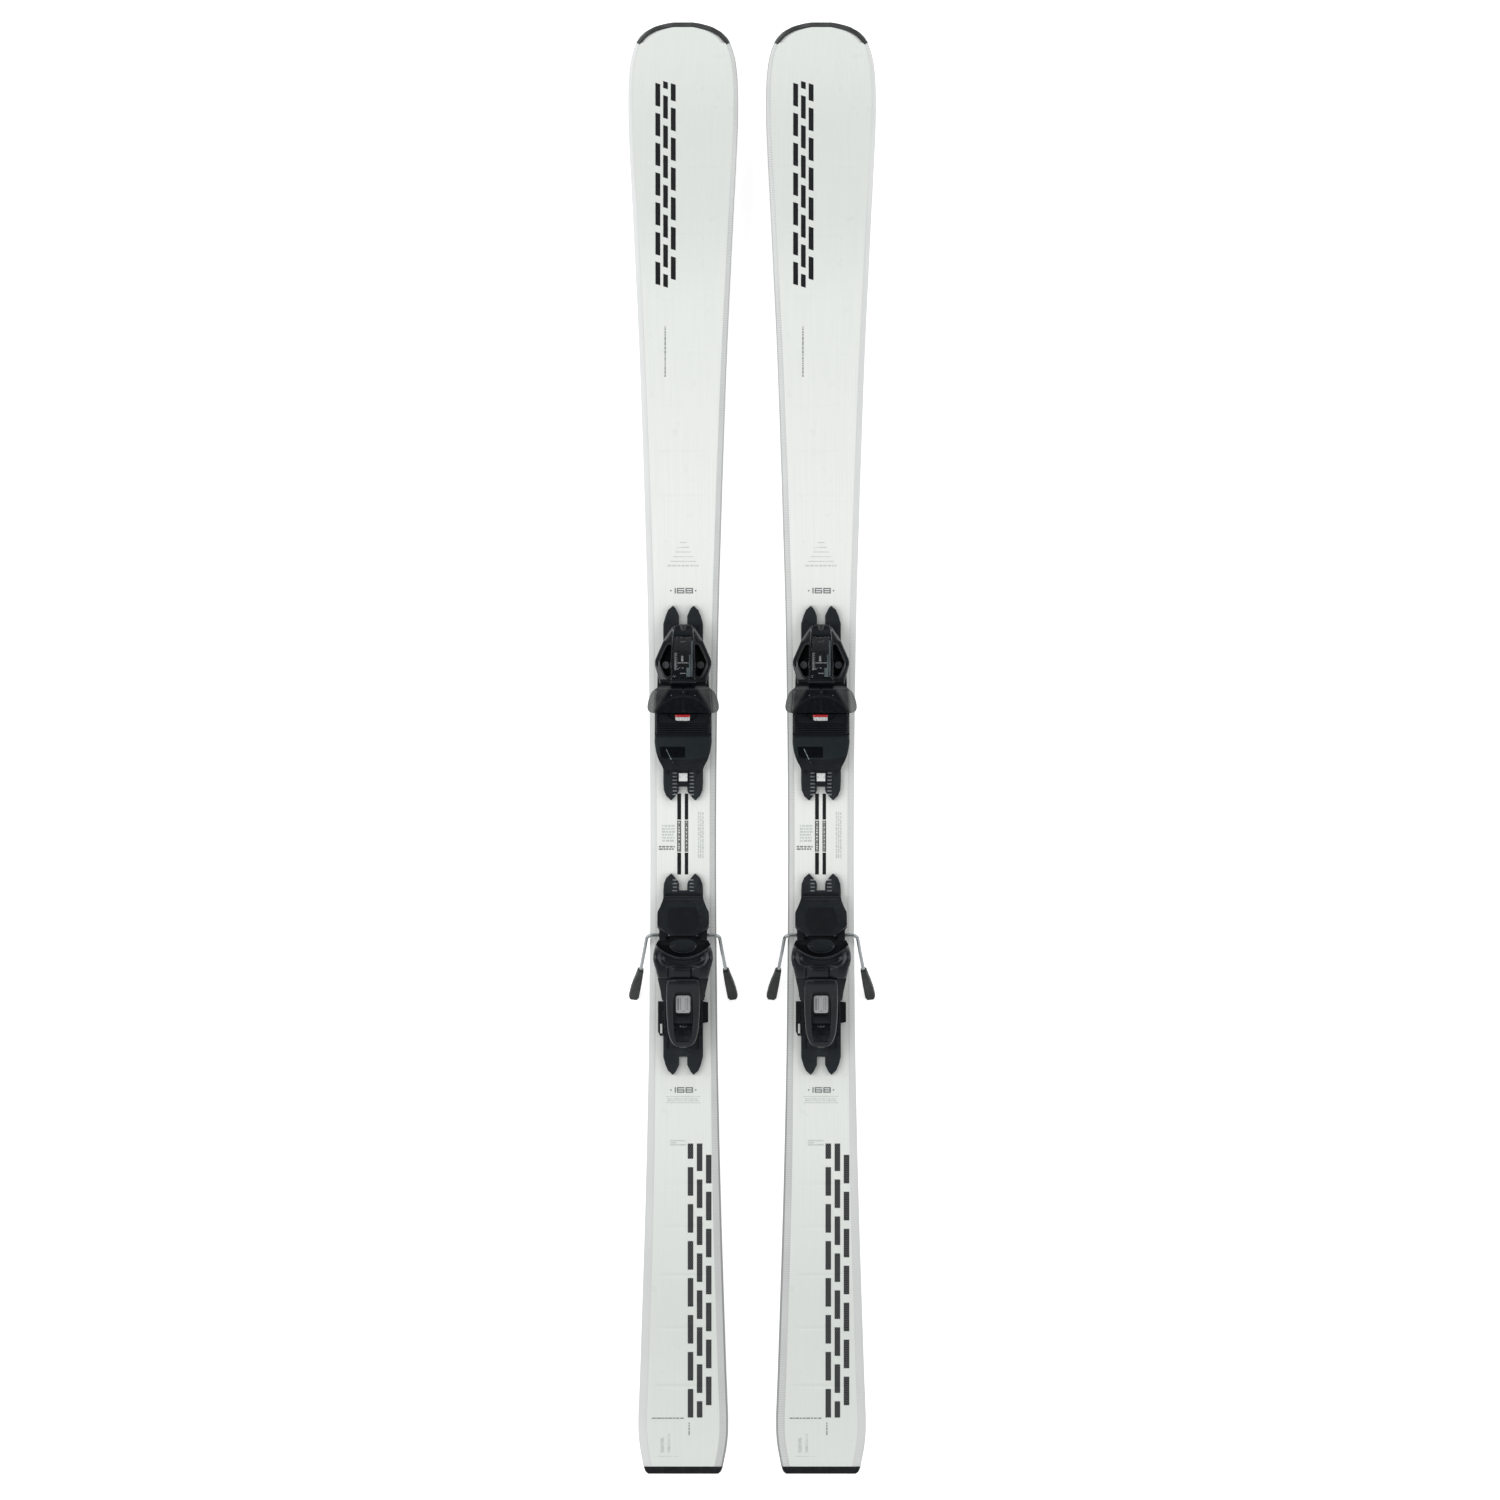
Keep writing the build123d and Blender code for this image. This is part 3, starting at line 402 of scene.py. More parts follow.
class Mat:
    def __init__(self, name):
        self.m = bpy.data.materials.new(name)
        self.m.use_nodes = True
        self.nt = self.m.node_tree
        self.nt.nodes.clear()
        self.out = self.node("ShaderNodeOutputMaterial")
        self.b = self.node("ShaderNodeBsdfPrincipled")
        self.link(self.b.outputs[0], self.out.inputs[0])
        self.tc = self.node("ShaderNodeTexCoord")
        self.obj = self.tc.outputs["Object"]

    def node(self, kind, **props):
        n = self.nt.nodes.new(kind)
        for k, v in props.items():
            setattr(n, k, v)
        return n

    def link(self, a, b):
        self.nt.links.new(a, b)

    def noise(self, scale, detail=3.0, rough=0.5, stretch=None):
        n = self.node("ShaderNodeTexNoise")
        n.inputs["Scale"].default_value = scale
        n.inputs["Detail"].default_value = detail
        n.inputs["Roughness"].default_value = rough
        src = self.obj
        if stretch:
            mp = self.node("ShaderNodeMapping")
            mp.inputs["Scale"].default_value = stretch
            self.link(self.obj, mp.inputs["Vector"])
            src = mp.outputs[0]
        self.link(src, n.inputs["Vector"])
        return n.outputs["Fac"]

    def remap(self, value, a, b, c=0.0, d=1.0, smoothstep=False):
        n = self.node("ShaderNodeMapRange")
        if smoothstep:
            n.interpolation_type = "SMOOTHSTEP"
        for i, v in zip(("From Min", "From Max", "To Min", "To Max"), (a, b, c, d)):
            n.inputs[i].default_value = v
        self.link(value, n.inputs["Value"])
        return n.outputs["Result"]

    def math(self, op, a, b=None, c=None):
        n = self.node("ShaderNodeMath", operation=op)
        for i, v in enumerate((a, b, c)):
            if v is None:
                continue
            if isinstance(v, (int, float)):
                n.inputs[i].default_value = v
            else:
                self.link(v, n.inputs[i])
        return n.outputs[0]

    def mix(self, fac, a, b):
        n = self.node("ShaderNodeMix", data_type="RGBA")
        if isinstance(fac, (int, float)):
            n.inputs[0].default_value = fac
        else:
            self.link(fac, n.inputs[0])
        for i, v in ((6, a), (7, b)):
            if isinstance(v, tuple):
                n.inputs[i].default_value = v
            else:
                self.link(v, n.inputs[i])
        return n.outputs[2]

    def xyz(self):
        n = self.node("ShaderNodeSeparateXYZ")
        self.link(self.obj, n.inputs[0])
        return n.outputs

    def bump(self, height, strength=0.3, distance=0.0002):
        n = self.node("ShaderNodeBump")
        n.inputs["Strength"].default_value = strength
        n.inputs["Distance"].default_value = distance
        self.link(height, n.inputs["Height"])
        self.link(n.outputs[0], self.b.inputs["Normal"])
        return n

    def set(self, **kw):
        for k, v in kw.items():
            self.b.inputs[k.replace("_", " ")].default_value = v


def plastic(name, colour, rough=0.4, var=0.12, grain=1800.0, bump=0.15, coat=0.0, coat_rough=0.1, spec=0.5, wear=0.25,
            rough_var=0.08, edge=1.6):
    """Moulded plastic: fine spark-eroded grain, uneven gloss, slightly paler and duller along its corners."""
    m = Mat(name)
    dark = tuple(c * (1 - var) for c in colour[:3]) + (1.0,)
    light = tuple(min(1.0, c * (1 + var)) for c in colour[:3]) + (1.0,)
    big = m.noise(42.0, 4.0, 0.55)
    base = m.mix(m.remap(big, 0.35, 0.65, smoothstep=True), dark, light)
    geo = m.node("ShaderNodeNewGeometry")
    worn = m.remap(geo.outputs["Pointiness"], 0.52, 0.60, 0.0, wear)
    scuff = m.math("MULTIPLY", worn, m.remap(m.noise(260.0, 4.0, 0.6), 0.4, 0.62))
    worn_colour = tuple(min(1.0, c * edge + 0.012) for c in colour[:3]) + (1.0,)
    m.link(m.mix(scuff, base, worn_colour), m.b.inputs["Base Color"])
    fine = m.noise(grain, 2.0, 0.6)
    r = m.math("ADD", m.remap(m.noise(95.0, 3.0), 0.3, 0.7, rough - rough_var, rough + rough_var),
               m.math("MULTIPLY", scuff, 0.25))
    m.link(r, m.b.inputs["Roughness"])
    m.bump(fine, bump, 0.00012)
    m.set(Coat_Weight=coat, Coat_Roughness=coat_rough, Specular_IOR_Level=spec)
    return m.m


def metal(name, colour, rough=0.3, stretch=(60, 4, 60), scale=40.0, bump=0.08):
    m = Mat(name)
    brush = m.noise(scale, 4.0, 0.6, stretch)
    tone = m.noise(60.0, 3.0)
    dark = tuple(c * 0.82 for c in colour[:3]) + (1.0,)
    m.link(m.mix(m.remap(tone, 0.3, 0.7), dark, colour), m.b.inputs["Base Color"])
    m.link(m.remap(brush, 0.3, 0.7, rough * 0.7, rough * 1.4), m.b.inputs["Roughness"])
    m.bump(brush, bump, 0.00006)
    m.set(Metallic=1.0)
    return m.m


K = 1.0   # how bright the light makes a white diffuser


def shade(r, g, b):
    c = srgb(r, g, b)
    return tuple(min(1.0, v / K) for v in c[:3]) + (1.0,)


def topsheet_colour(m):
    """White lacquer whose tone drifts gently along the ski."""
    y = m.xyz()[1]
    ramp = m.node("ShaderNodeValToRGB")
    m.link(m.remap(y, -0.84, 0.84), ramp.inputs[0])
    stops = [(-795, (221, 226, 222)), (-635, (219, 224, 220)), (-416, (232, 236, 232)), (-50, (238, 241, 238)),
             (262, (238, 241, 238)), (515, (232, 236, 232)), (618, (222, 227, 223)), (720, (221, 226, 222)),
             (800, (226, 231, 227))]
    el = ramp.color_ramp.elements
    while len(el) < len(stops):
        el.new(0.5)
    for e, (yy, c) in zip(el, stops):
        e.position = (yy / 1000 + 0.84) / 1.68
        e.color = shade(*c)
    return ramp.outputs[0]


def dots(m, pitch, radius, skew=0.5):
    """1 inside small round dots on a staggered grid across x and y."""
    x, y, _ = m.xyz()
    v = m.math("DIVIDE", y, pitch * 0.866)
    row = m.math("FLOOR", v)
    odd = m.math("MULTIPLY", m.math("MODULO", m.math("ABSOLUTE", row), 2.0), skew)
    u = m.math("ADD", m.math("DIVIDE", x, pitch), odd)
    fu = m.math("SUBTRACT", m.math("FRACT", u), 0.5)
    fv = m.math("MULTIPLY", m.math("SUBTRACT", m.math("FRACT", v), 0.5), 0.866)
    d = m.math("SQRT", m.math("ADD", m.math("MULTIPLY", fu, fu), m.math("MULTIPLY", fv, fv)))
    return m.remap(d, radius - 0.08, radius + 0.08, 1.0, 0.0)


def make_topsheet():
    m = Mat("topsheet_lacquer")
    base = topsheet_colour(m)
    cloud = m.remap(m.noise(11.0, 3.0, 0.55), 0.35, 0.65)
    base = m.mix(m.math("MULTIPLY", cloud, 0.5), base, m.mix(0.92, shade(214, 219, 217), base))
    # faint lengthwise glass-fibre lines under the lacquer
    fibre = m.remap(m.noise(90.0, 2.0, 0.5, (9.0, 0.12, 1.0)), 0.42, 0.62)
    base = m.mix(m.math("MULTIPLY", fibre, 0.10), base, shade(203, 208, 208))
    m.link(base, m.b.inputs["Base Color"])
    m.link(m.remap(m.noise(70.0, 3.0), 0.3, 0.7, 0.27, 0.38), m.b.inputs["Roughness"])
    m.bump(m.noise(2600.0, 2.0), 0.06, 0.00005)
    m.set(Coat_Weight=0.15, Coat_Roughness=0.18, Specular_IOR_Level=0.35)
    return m.m


def make_margin(name, a, b, strength):
    """Sloping margin: a tinted lacquer with a fine printed dot screen that fades lengthwise; the darker tint and dots
    of the inner copies are painted shade.
    """
    m = Mat(name)
    y = m.xyz()[1]
    tone = m.remap(m.noise(8.0, 3.0, 0.5, (1.0, 0.5, 1.0)), 0.35, 0.65)
    base = m.mix(tone, a, tuple(min(1.0, c * 1.08) for c in a[:3]) + (1.0,))
    base = m.mix(m.remap(y, -0.1, 0.45, 0.0, 0.35, True), base, shade(232, 236, 234))
    screen = m.math("MULTIPLY", dots(m, 0.0023, 0.27), m.remap(m.noise(14.0, 2.0), 0.3, 0.6, 0.35 * strength, strength))
    m.link(m.mix(screen, base, b), m.b.inputs["Base Color"])
    m.link(m.remap(m.noise(80.0, 3.0), 0.3, 0.7, 0.3, 0.42), m.b.inputs["Roughness"])
    m.bump(m.noise(2200.0, 2.0), 0.08, 0.00006)
    m.set(Coat_Weight=0.1, Coat_Roughness=0.2, Specular_IOR_Level=0.35)
    return m.m


def make_ink(name, colour, paper=None, pitch=0.0014, radius=0.24, rough=0.38, spec=0.3):
    """Screen-printed ink, solid or broken by a fine screen of pale dots."""
    m = Mat(name)
    tone = m.remap(m.noise(120.0, 4.0, 0.6), 0.3, 0.7)
    base = m.mix(tone, tuple(c * 0.85 for c in colour[:3]) + (1.0,), tuple(min(1.0, c * 1.15) for c in colour[:3]) + (1.0,))
    if paper:
        base = m.mix(dots(m, pitch, radius), base, paper)
    m.link(base, m.b.inputs["Base Color"])
    m.link(m.remap(m.noise(300.0, 3.0), 0.3, 0.7, rough - 0.07, rough + 0.07), m.b.inputs["Roughness"])
    m.bump(m.noise(2400.0, 2.0), 0.08, 0.00004)
    m.set(Specular_IOR_Level=spec)
    return m.m


def make_window(name):
    """Thin clear moulding: mostly see-through, with its own gloss."""
    m = Mat(name)
    t = m.remap(m.noise(50.0, 3.0), 0.3, 0.7)
    m.link(m.mix(t, srgb(14, 18, 22), srgb(24, 29, 33)), m.b.inputs["Base Color"])
    m.link(m.remap(m.noise(140.0, 3.0), 0.35, 0.7, 0.03, 0.07), m.b.inputs["Roughness"])
    m.link(m.remap(m.noise(30.0, 2.0), 0.3, 0.7, 0.26, 0.34), m.b.inputs["Alpha"])
    m.bump(m.noise(300.0, 2.0), 0.02, 0.00003)
    m.set(Specular_IOR_Level=0.8)
    return m.m


def make_wing():
    """Smoky moulded polymer: black towards the middle of the jaw, greyer and cloudier in the outer lobes."""
    m = Mat("wing_smoke")
    x, y, z = m.xyz()
    ax = m.math("ABSOLUTE", x)
    # the dark inner field ends on an arc
    dy = m.math("SUBTRACT", y, 0.078)
    d = m.math("SQRT", m.math("ADD", m.math("MULTIPLY", ax, ax), m.math("MULTIPLY", dy, dy)))
    # the lobes widen towards the boot's toe, and the wing turns dark again near the housing
    side = m.math("ADD", ax, m.math("MULTIPLY", m.math("SUBTRACT", y, 0.058), 0.62))
    outer = m.remap(side, 0.0200, 0.0262, 0.0, 1.0, True)
    outer = m.math("MULTIPLY", outer, m.remap(y, 0.0735, 0.0655, 0.25, 1.0, True))
    outer = m.math("MULTIPLY", outer, m.remap(d, 0.006, 0.016, 0.0, 1.0, True))
    smoke = m.mix(m.remap(m.noise(60.0, 3.0), 0.3, 0.7), srgb(46, 48, 49), srgb(66, 68, 68))
    inner = m.mix(m.remap(m.noise(90.0, 3.0), 0.3, 0.7), srgb(9, 13, 17), srgb(14, 18, 22))
    m.link(m.mix(outer, inner, smoke), m.b.inputs["Base Color"])
    m.link(m.remap(m.noise(180.0, 3.0), 0.3, 0.7, 0.18, 0.3), m.b.inputs["Roughness"])
    m.bump(m.noise(1500.0, 2.0), 0.06, 0.00005)
    m.set(Coat_Weight=0.12, Coat_Roughness=0.1, Specular_IOR_Level=0.22)
    return m.m


def make_wood(name):
    m = Mat(name)
    rings = m.noise(60.0, 5.0, 0.6, (8.0, 0.3, 8.0))
    m.link(m.mix(m.remap(rings, 0.35, 0.65), srgb(176, 138, 92), srgb(214, 180, 134)), m.b.inputs["Base Color"])
    m.link(m.remap(rings, 0.3, 0.7, 0.5, 0.7), m.b.inputs["Roughness"])
    m.bump(rings, 0.2, 0.0002)
    return m.m


def make_base():
    m = Mat("sintered_base")
    lines = m.noise(220.0, 3.0, 0.6, (7.0, 0.05, 1.0))
    m.link(m.mix(m.remap(m.noise(30.0, 4.0), 0.3, 0.7), srgb(20, 20, 22), srgb(38, 38, 41)), m.b.inputs["Base Color"])
    m.link(m.remap(lines, 0.3, 0.7, 0.35, 0.6), m.b.inputs["Roughness"])
    m.bump(lines, 0.35, 0.00015)
    return m.m


M = {}
M["topsheet"] = make_topsheet()
# margins and edge lines: the inner copies, on the sides that face the other ski, are painted darker as shade; the outer
# ones carry the plain tinted print
M["margin_outer"] = make_margin("margin_outer", shade(209, 212, 210), shade(172, 170, 178), 0.55)
M["margin_inner"] = make_margin("margin_inner", shade(201, 204, 202), shade(138, 135, 144), 0.75)
M["line_outer"] = make_margin("line_outer", shade(203, 205, 205), shade(170, 168, 176), 0.3)
M["line_inner"] = make_margin("line_inner", shade(142, 144, 142), shade(118, 117, 122), 0.3)
M["sidewall"] = plastic("sidewall_white", shade(214, 217, 216), 0.35, 0.03, 1400, 0.08, wear=0.1, edge=1.0)
M["edge"] = metal("edge_steel", srgb(168, 170, 174), 0.28, (3, 0.08, 3), 300.0)
M["base"] = make_base()
M["wood"] = make_wood("core_wood")
M["guard_grey"] = plastic("end_guard_worn", srgb(66, 69, 69), 0.22, 0.35, 900, 0.1, coat=0.3, coat_rough=0.1, wear=0.6, spec=0.4)
M["guard"] = plastic("end_guard_gloss", srgb(24, 25, 27), 0.16, 0.15, 900, 0.05, coat=0.4, coat_rough=0.08, wear=0.35)
M["ink_black"] = make_ink("ink_black", srgb(20, 22, 25))
M["ink_screen"] = make_ink("ink_screen", srgb(30, 32, 34), srgb(112, 115, 115), 0.0024, 0.24)
M["ink_grey"] = make_ink("ink_grey", srgb(120, 124, 125))
M["ink_pale"] = make_ink("ink_pale", srgb(203, 208, 205))
M["track"] = plastic("track_satin", srgb(33, 38, 42), 0.34, 0.12, 1600, 0.18, spec=0.25)
M["carriage"] = plastic("carriage_satin", srgb(20, 24, 28), 0.42, 0.12, 1500, 0.22, spec=0.2)
M["cover"] = plastic("cover_satin", srgb(27, 34, 38), 0.40, 0.06, 1700, 0.2, wear=0.25, spec=0.2)
M["patch"] = make_ink("cover_patch", srgb(7, 10, 14), rough=0.3, spec=0.1)
M["housing"] = plastic("housing_gloss", srgb(19, 23, 26), 0.17, 0.12, 1100, 0.04, coat=0.3, coat_rough=0.06, wear=0.35, spec=0.18)
M["front"] = plastic("housing_front", srgb(16, 21, 24), 0.2, 0.12, 1100, 0.04, wear=0.2, spec=0.07)
# near-black matte for the housing's pits and the jaw's low tongue: painted shade, darker than the plastic around it
M["pit"] = plastic("pit_painted_shade", srgb(5, 7, 10), 0.6, 0.15, 1500, 0.2, spec=0.1)
M["window"] = make_window("window_clear")
M["mark_white"] = make_ink("mark_white", srgb(236, 240, 240))
M["mark_dot"] = make_ink("mark_dot", srgb(74, 78, 80))
M["mark_silver"] = make_ink("mark_silver", srgb(150, 165, 171), rough=0.3, spec=0.6)
M["mark_line"] = make_ink("mark_line", srgb(74, 82, 86), rough=0.3, spec=0.4)
M["wing"] = make_wing()
M["slider"] = plastic("slider_satin", srgb(15, 19, 23), 0.32, 0.12, 1500, 0.12, spec=0.22)
M["red"] = plastic("mark_red", srgb(196, 38, 46), 0.35, 0.08, 1200, 0.1, wear=0.1)
M["white"] = plastic("insert_white", shade(214, 217, 216), 0.38, 0.04, 1300, 0.1, wear=0.1, edge=1.0)
# grey of the slot bars: the white topsheet down in the slots, painted with their shade
M["ladder"] = plastic("ladder_painted_shade", shade(150, 156, 158), 0.38, 0.08, 1300, 0.1, wear=0.1, edge=1.0)
M["plate"] = plastic("plate_white", shade(184, 187, 187), 0.38, 0.04, 1300, 0.1, wear=0.1, edge=1.0)
M["pedal"] = plastic("pedal_satin", srgb(20, 25, 29), 0.36, 0.12, 1500, 0.2, wear=0.3, spec=0.22)
M["pedal_dark"] = plastic("pedal_panel", srgb(13, 17, 21), 0.42, 0.12, 1500, 0.2, wear=0.1, spec=0.18)
M["heel"] = plastic("heel_satin", srgb(21, 25, 29), 0.27, 0.12, 1500, 0.12, coat=0.1, coat_rough=0.15, wear=0.3, spec=0.2)
M["pad"] = plastic("heel_pad", srgb(30, 35, 39), 0.28, 0.12, 1500, 0.1, coat=0.1, coat_rough=0.15, spec=0.2)
M["lever"] = plastic("lever_satin", srgb(22, 26, 30), 0.26, 0.1, 1600, 0.12, coat=0.15, coat_rough=0.14, wear=0.35, spec=0.22)
M["tip"] = plastic("brake_tip_rough", srgb(56, 58, 58), 0.62, 0.22, 900, 0.6, wear=0.4, spec=0.25)
M["wire"] = metal("wire_silver", srgb(150, 155, 156), 0.26, (10, 10, 10), 90.0)
M["black_screw"] = plastic("screw_black", srgb(30, 33, 36), 0.4, 0.12, 1500, 0.1, spec=0.3)
M["steel"] = metal("pivot_steel", srgb(120, 123, 127), 0.32)
M["zinc"] = metal("screw_zinc", srgb(96, 99, 103), 0.4)
M["spring"] = metal("spring_steel", srgb(120, 122, 126), 0.3)

# ------------------------------------------------------------------ pieces
PIECES = []      # name, mesh, materials, node whose body it rides on, replaced nodes, slot


def add(name, mesh, mats, node, replaces=(), slot=None, weighted=False):
    PIECES.append((name, mesh, mats, node, replaces, slot, weighted))


# ---- the ski: stations are close together where it curves
def stations():
    ys = []
    y = inner_end
    while y > TIP_GUARD + 0.2:
        ys.append(y)
        y -= 0.25 if y > inner_end - 2 else 0.6 if y > inner_end - 8 else 1.2
    front = ys + [TIP_GUARD + 0.01]
    rear = [TIP_GUARD]
    y = TIP_GUARD - 1.5
    while y > TAIL_GUARD + 0.5:
        rear.append(y)
        near = min(abs(y + 1.0 - g) for g in GROOVES)
        y -= 0.6 if near < 6 else 2.4 if y > 760 or y < -740 else 4.0
    rear.append(TAIL_GUARD)
    return front, rear


front_ys, rear_ys = stations()


def cap_ring(y):
    w, t = sheet_width(y), top_z(y)
    e = base_z(y) + 2.0
    m = margin_width(y)
    sh = max(t - 2.2, e + 0.35)
    d = t - sh
    half = [(w, e), (w, e + (sh - e) * 0.55), (w - 0.06, sh - 0.02), (w - 0.4, sh + d * 0.12), (w - 0.25 * m, sh + d * 0.33),
            (w - 0.5 * m, sh + d * 0.6), (w - 0.75 * m, sh + d * 0.84), (w - 0.93 * m, sh + d * 0.975), (w - m - 0.5, t)]
    flat = w - m - 0.5
    cols = [0.94, 0.87, 0.79, 0.7, 0.6, 0.48, 0.36, 0.24, 0.12]
    ring = [(x, y, z) for x, z in half]
    ring += [(flat * c, y, surf_z(flat * c, y)) for c in cols]
    ring += [(0.0, y, surf_z(0.0, y))]
    ring += [(-x, yy, z) for x, yy, z in reversed(ring[:-1])]
    return ring


n_ring = len(cap_ring(0.0))
ring_mats = []
for j in range(n_ring):
    k = min(j, n_ring - 2 - j)
    if j == n_ring - 1:
        ring_mats.append(1)
    elif k < 2:
        ring_mats.append(1)                      # upright sidewall
    elif k < 8:
        ring_mats.append((2 if j < n_ring // 2 else 3) + (2 if k < 4 else 0))   # sloping margins, right then left
    else:
        ring_mats.append(0)
cap = mesh_of("topsheet", *joined([loft([cap_ring(y) for y in front_ys], ring_mats),
                                   loft([cap_ring(y) for y in rear_ys], ring_mats)]))
add("topsheet", cap, ["topsheet", "sidewall", "MARGIN_R", "MARGIN_L", "LINE_R", "LINE_L"], "ski_cap", ["ski_cap"], "topsheet")


def base_ring(y):
    z, h = base_z(y), sheet_width(y) - 2.0
    return [(-h, y, z), (h, y, z), (h, y, z + 1.4), (-h, y, z + 1.4)]


base = mesh_of("base", *joined([loft([base_ring(y) for y in front_ys]), loft([base_ring(y) for y in rear_ys])]))
add("running_base", base, ["base"], "ski_base", ["ski_base"], "running_base")


def edge_ring(y, s):
    z, w = base_z(y), half_width(y)
    a, b = s * (w - 2.0), s * w
    c = s * (w - 0.25)
    return [(a, y, z), (c, y, z), (b, y, z + 0.25), (b, y, z + 1.75), (c, y, z + 2.0), (a, y, z + 2.0)]


edges = mesh_of("edges", *joined([loft([edge_ring(y, s) for y in rear_ys]) for s in (-1, 1)]))
add("steel_edges", edges, ["edge"], "ski_edges", ["ski_edges"], "edge_steel")


# ---- guards
def guard_mesh():
    path = [(nose[i], nose_in[i]) for i in range(len(nose))]
    path = path + [((-a[0], a[1]), (-b[0], b[1])) for a, b in reversed(path[:-1])]
    total = len(path)
    rings = []
    for i, (o, q) in enumerate(path):
        # the two ends are rounded off
        run = min(i, total - 1 - i)
        grow = min(1.0, 0.45 + 0.16 * run)
        k = 1.15 * (0.7 + 0.3 * grow)
        q = (o[0] + (q[0] - o[0]) * k, o[1] + (q[1] - o[1]) * k)
        ring = []
        zb = lambda p: base_z(min(835.5, p[1]))
        zt = lambda p: top_z(min(835.5, p[1]))
        def at(k):
            return (o[0] + (q[0] - o[0]) * k, o[1] + (q[1] - o[1]) * k)
        for k, up in ((0.0, -1.5), (0.03, -0.75), (0.1, -0.15), (0.22, 0.16), (0.45, 0.28), (0.7, 0.3), (0.88, 0.22),
                      (0.97, 0.05), (1.0, -0.25)):
            p = at(k)
            ring.append((p[0], p[1], zt(p) + up * grow))
        for k, up in ((1.0, 0.0), (0.5, 0.0), (0.08, 0.0), (0.0, 0.5)):
            p = at(k)
            ring.append((p[0], p[1], zb(p) + up))
        rings.append(ring)
    tip = loft(rings, [1, 1, 1, 1, 1, 0, 0, 0, 0, 0, 0, 0, 0])
    # tail guard
    secs = []
    for y, q in ((TAIL_GUARD, 0.35), (TAIL_GUARD - 0.25, 0.12), (TAIL_GUARD - 0.8, 0.0), (TAIL_GUARD - 3.0, 0.0),
                 (TAIL_GUARD - 5.5, 0.0), (TAIL_GUARD - 7.4, 0.15), (-835.2, 0.6), (-835.5, 1.3)):
        w = half_width(max(y, -835.5)) - q * 0.5
        b, t = base_z(y), top_z(y) + 0.3
        w -= 1.6 * smooth(-833.0, -835.5, y)
        secs.append([(-w, y, b + q), (w, y, b + q), (w + 0.0, y, t - 1.4), (w - 0.3, y, t - 0.6 - q * 0.5),
                     (w - 1.2, y, t - q * 0.5), (-(w - 1.2), y, t - q * 0.5), (-(w - 0.3), y, t - 0.6 - q * 0.5),
                     (-w, y, t - 1.4)])
    return joined([tip, loft(secs)])


add("end_guards", mesh_of("guards", *guard_mesh()), ["guard", "guard_grey"], "ski_end_guards", ["ski_end_guards"], "end_guard")


# ---- printed graphics: plain stripes, bars and blocks
rng = random.Random(7)


def slant(x0, x1, y0, y1, k=0.32):
    """Bar along the ski with slanted ends."""
    s = (x1 - x0) * k
    return [(x0, y0), (x1, y0 + s), (x1, y1 + s), (x0, y1)]


def rect(x0, x1, y0, y1):
    return [(x0, y0), (x1, y0), (x1, y1), (x0, y1)]


def dashes(x0, x1, y0, y1, rows, vertical=False, fill=0.62):
    """Rows of tiny bars of uneven length."""
    out = []
    if vertical:
        w = (x1 - x0) / rows
        for i in range(rows):
            y = y0
            while y < y1 - 0.8:
                n = min(y1 - y, rng.uniform(1.4, 5.2))
                out.append(rect(x0 + i * w + w * (1 - fill) / 2, x0 + (i + 1) * w - w * (1 - fill) / 2, y, y + n))
                y += n + rng.uniform(0.7, 1.2)
    else:
        h = (y1 - y0) / rows
        for i in range(rows):
            x = x0
            while x < x1 - 0.8:
                n = min(x1 - x, rng.uniform(1.4, 5.2))
                out.append(rect(x, x + n, y0 + i * h + h * (1 - fill) / 2, y0 + (i + 1) * h - h * (1 - fill) / 2))
                x += n + rng.uniform(0.7, 1.2)
    return out


def digit(n, x, y, w, h, s):
    segs = {"a": rect(x, x + w, y + h - s, y + h), "g": rect(x, x + w, y + h / 2 - s / 2, y + h / 2 + s / 2),
            "d": rect(x, x + w, y, y + s), "f": rect(x, x + s, y + h / 2, y + h), "e": rect(x, x + s, y, y + h / 2),
            "b": rect(x + w - s, x + w, y + h / 2, y + h), "c": rect(x + w - s, x + w, y, y + h / 2)}
    # the pieces don't overlap: uprights stop short of the bars
    cut = {"f": rect(x, x + s, y + h / 2 + s / 2, y + h - s), "e": rect(x, x + s, y + s, y + h / 2 - s / 2),
           "b": rect(x + w - s, x + w, y + h / 2 + s / 2, y + h - s), "c": rect(x + w - s, x + w, y + s, y + h / 2 - s / 2)}
    want = {"1": "bc", "6": "afgedc", "8": "abcdefg"}[n]
    if n == "1":
        return [rect(x + w - s, x + w, y, y + h)]
    return [cut[k] if k in cut else segs[k] for k in want]


def size_mark(y):
    out = []
    x = -10.9
    for n, w in (("1", 2.4), ("6", 8.6), ("8", 8.6)):
        out += digit(n, x, y - 3.2, w, 6.4, 1.35)
        x += w + 1.3
    out += [rect(-15.0, -13.4, y - 0.8, y + 0.8), rect(13.6, 15.2, y - 0.8, y + 0.8)]
    return out


black, screen, grey, pale = [], [], [], []
# forward mark: three broken stripes with slanted ends, each a third of a step behind its neighbour
LANES_F = [(-32.0, -26.4), (-23.0, -17.6), (-14.2, -8.6)]
for k, (x0, x1) in enumerate(LANES_F):
    top = (-x0 - 8.6) * 0.3
    y = 528.0 - 11.4 * k
    while y < 762.0:
        lo, hi = max(528.0, y), min(764.0, y + 26.0)
        if hi - lo > 5.0:
            black.append([(x0, lo + top), (x1, lo + top - 1.7), (x1, hi + top - 1.7), (x0, hi + top)])
        y += 34.2
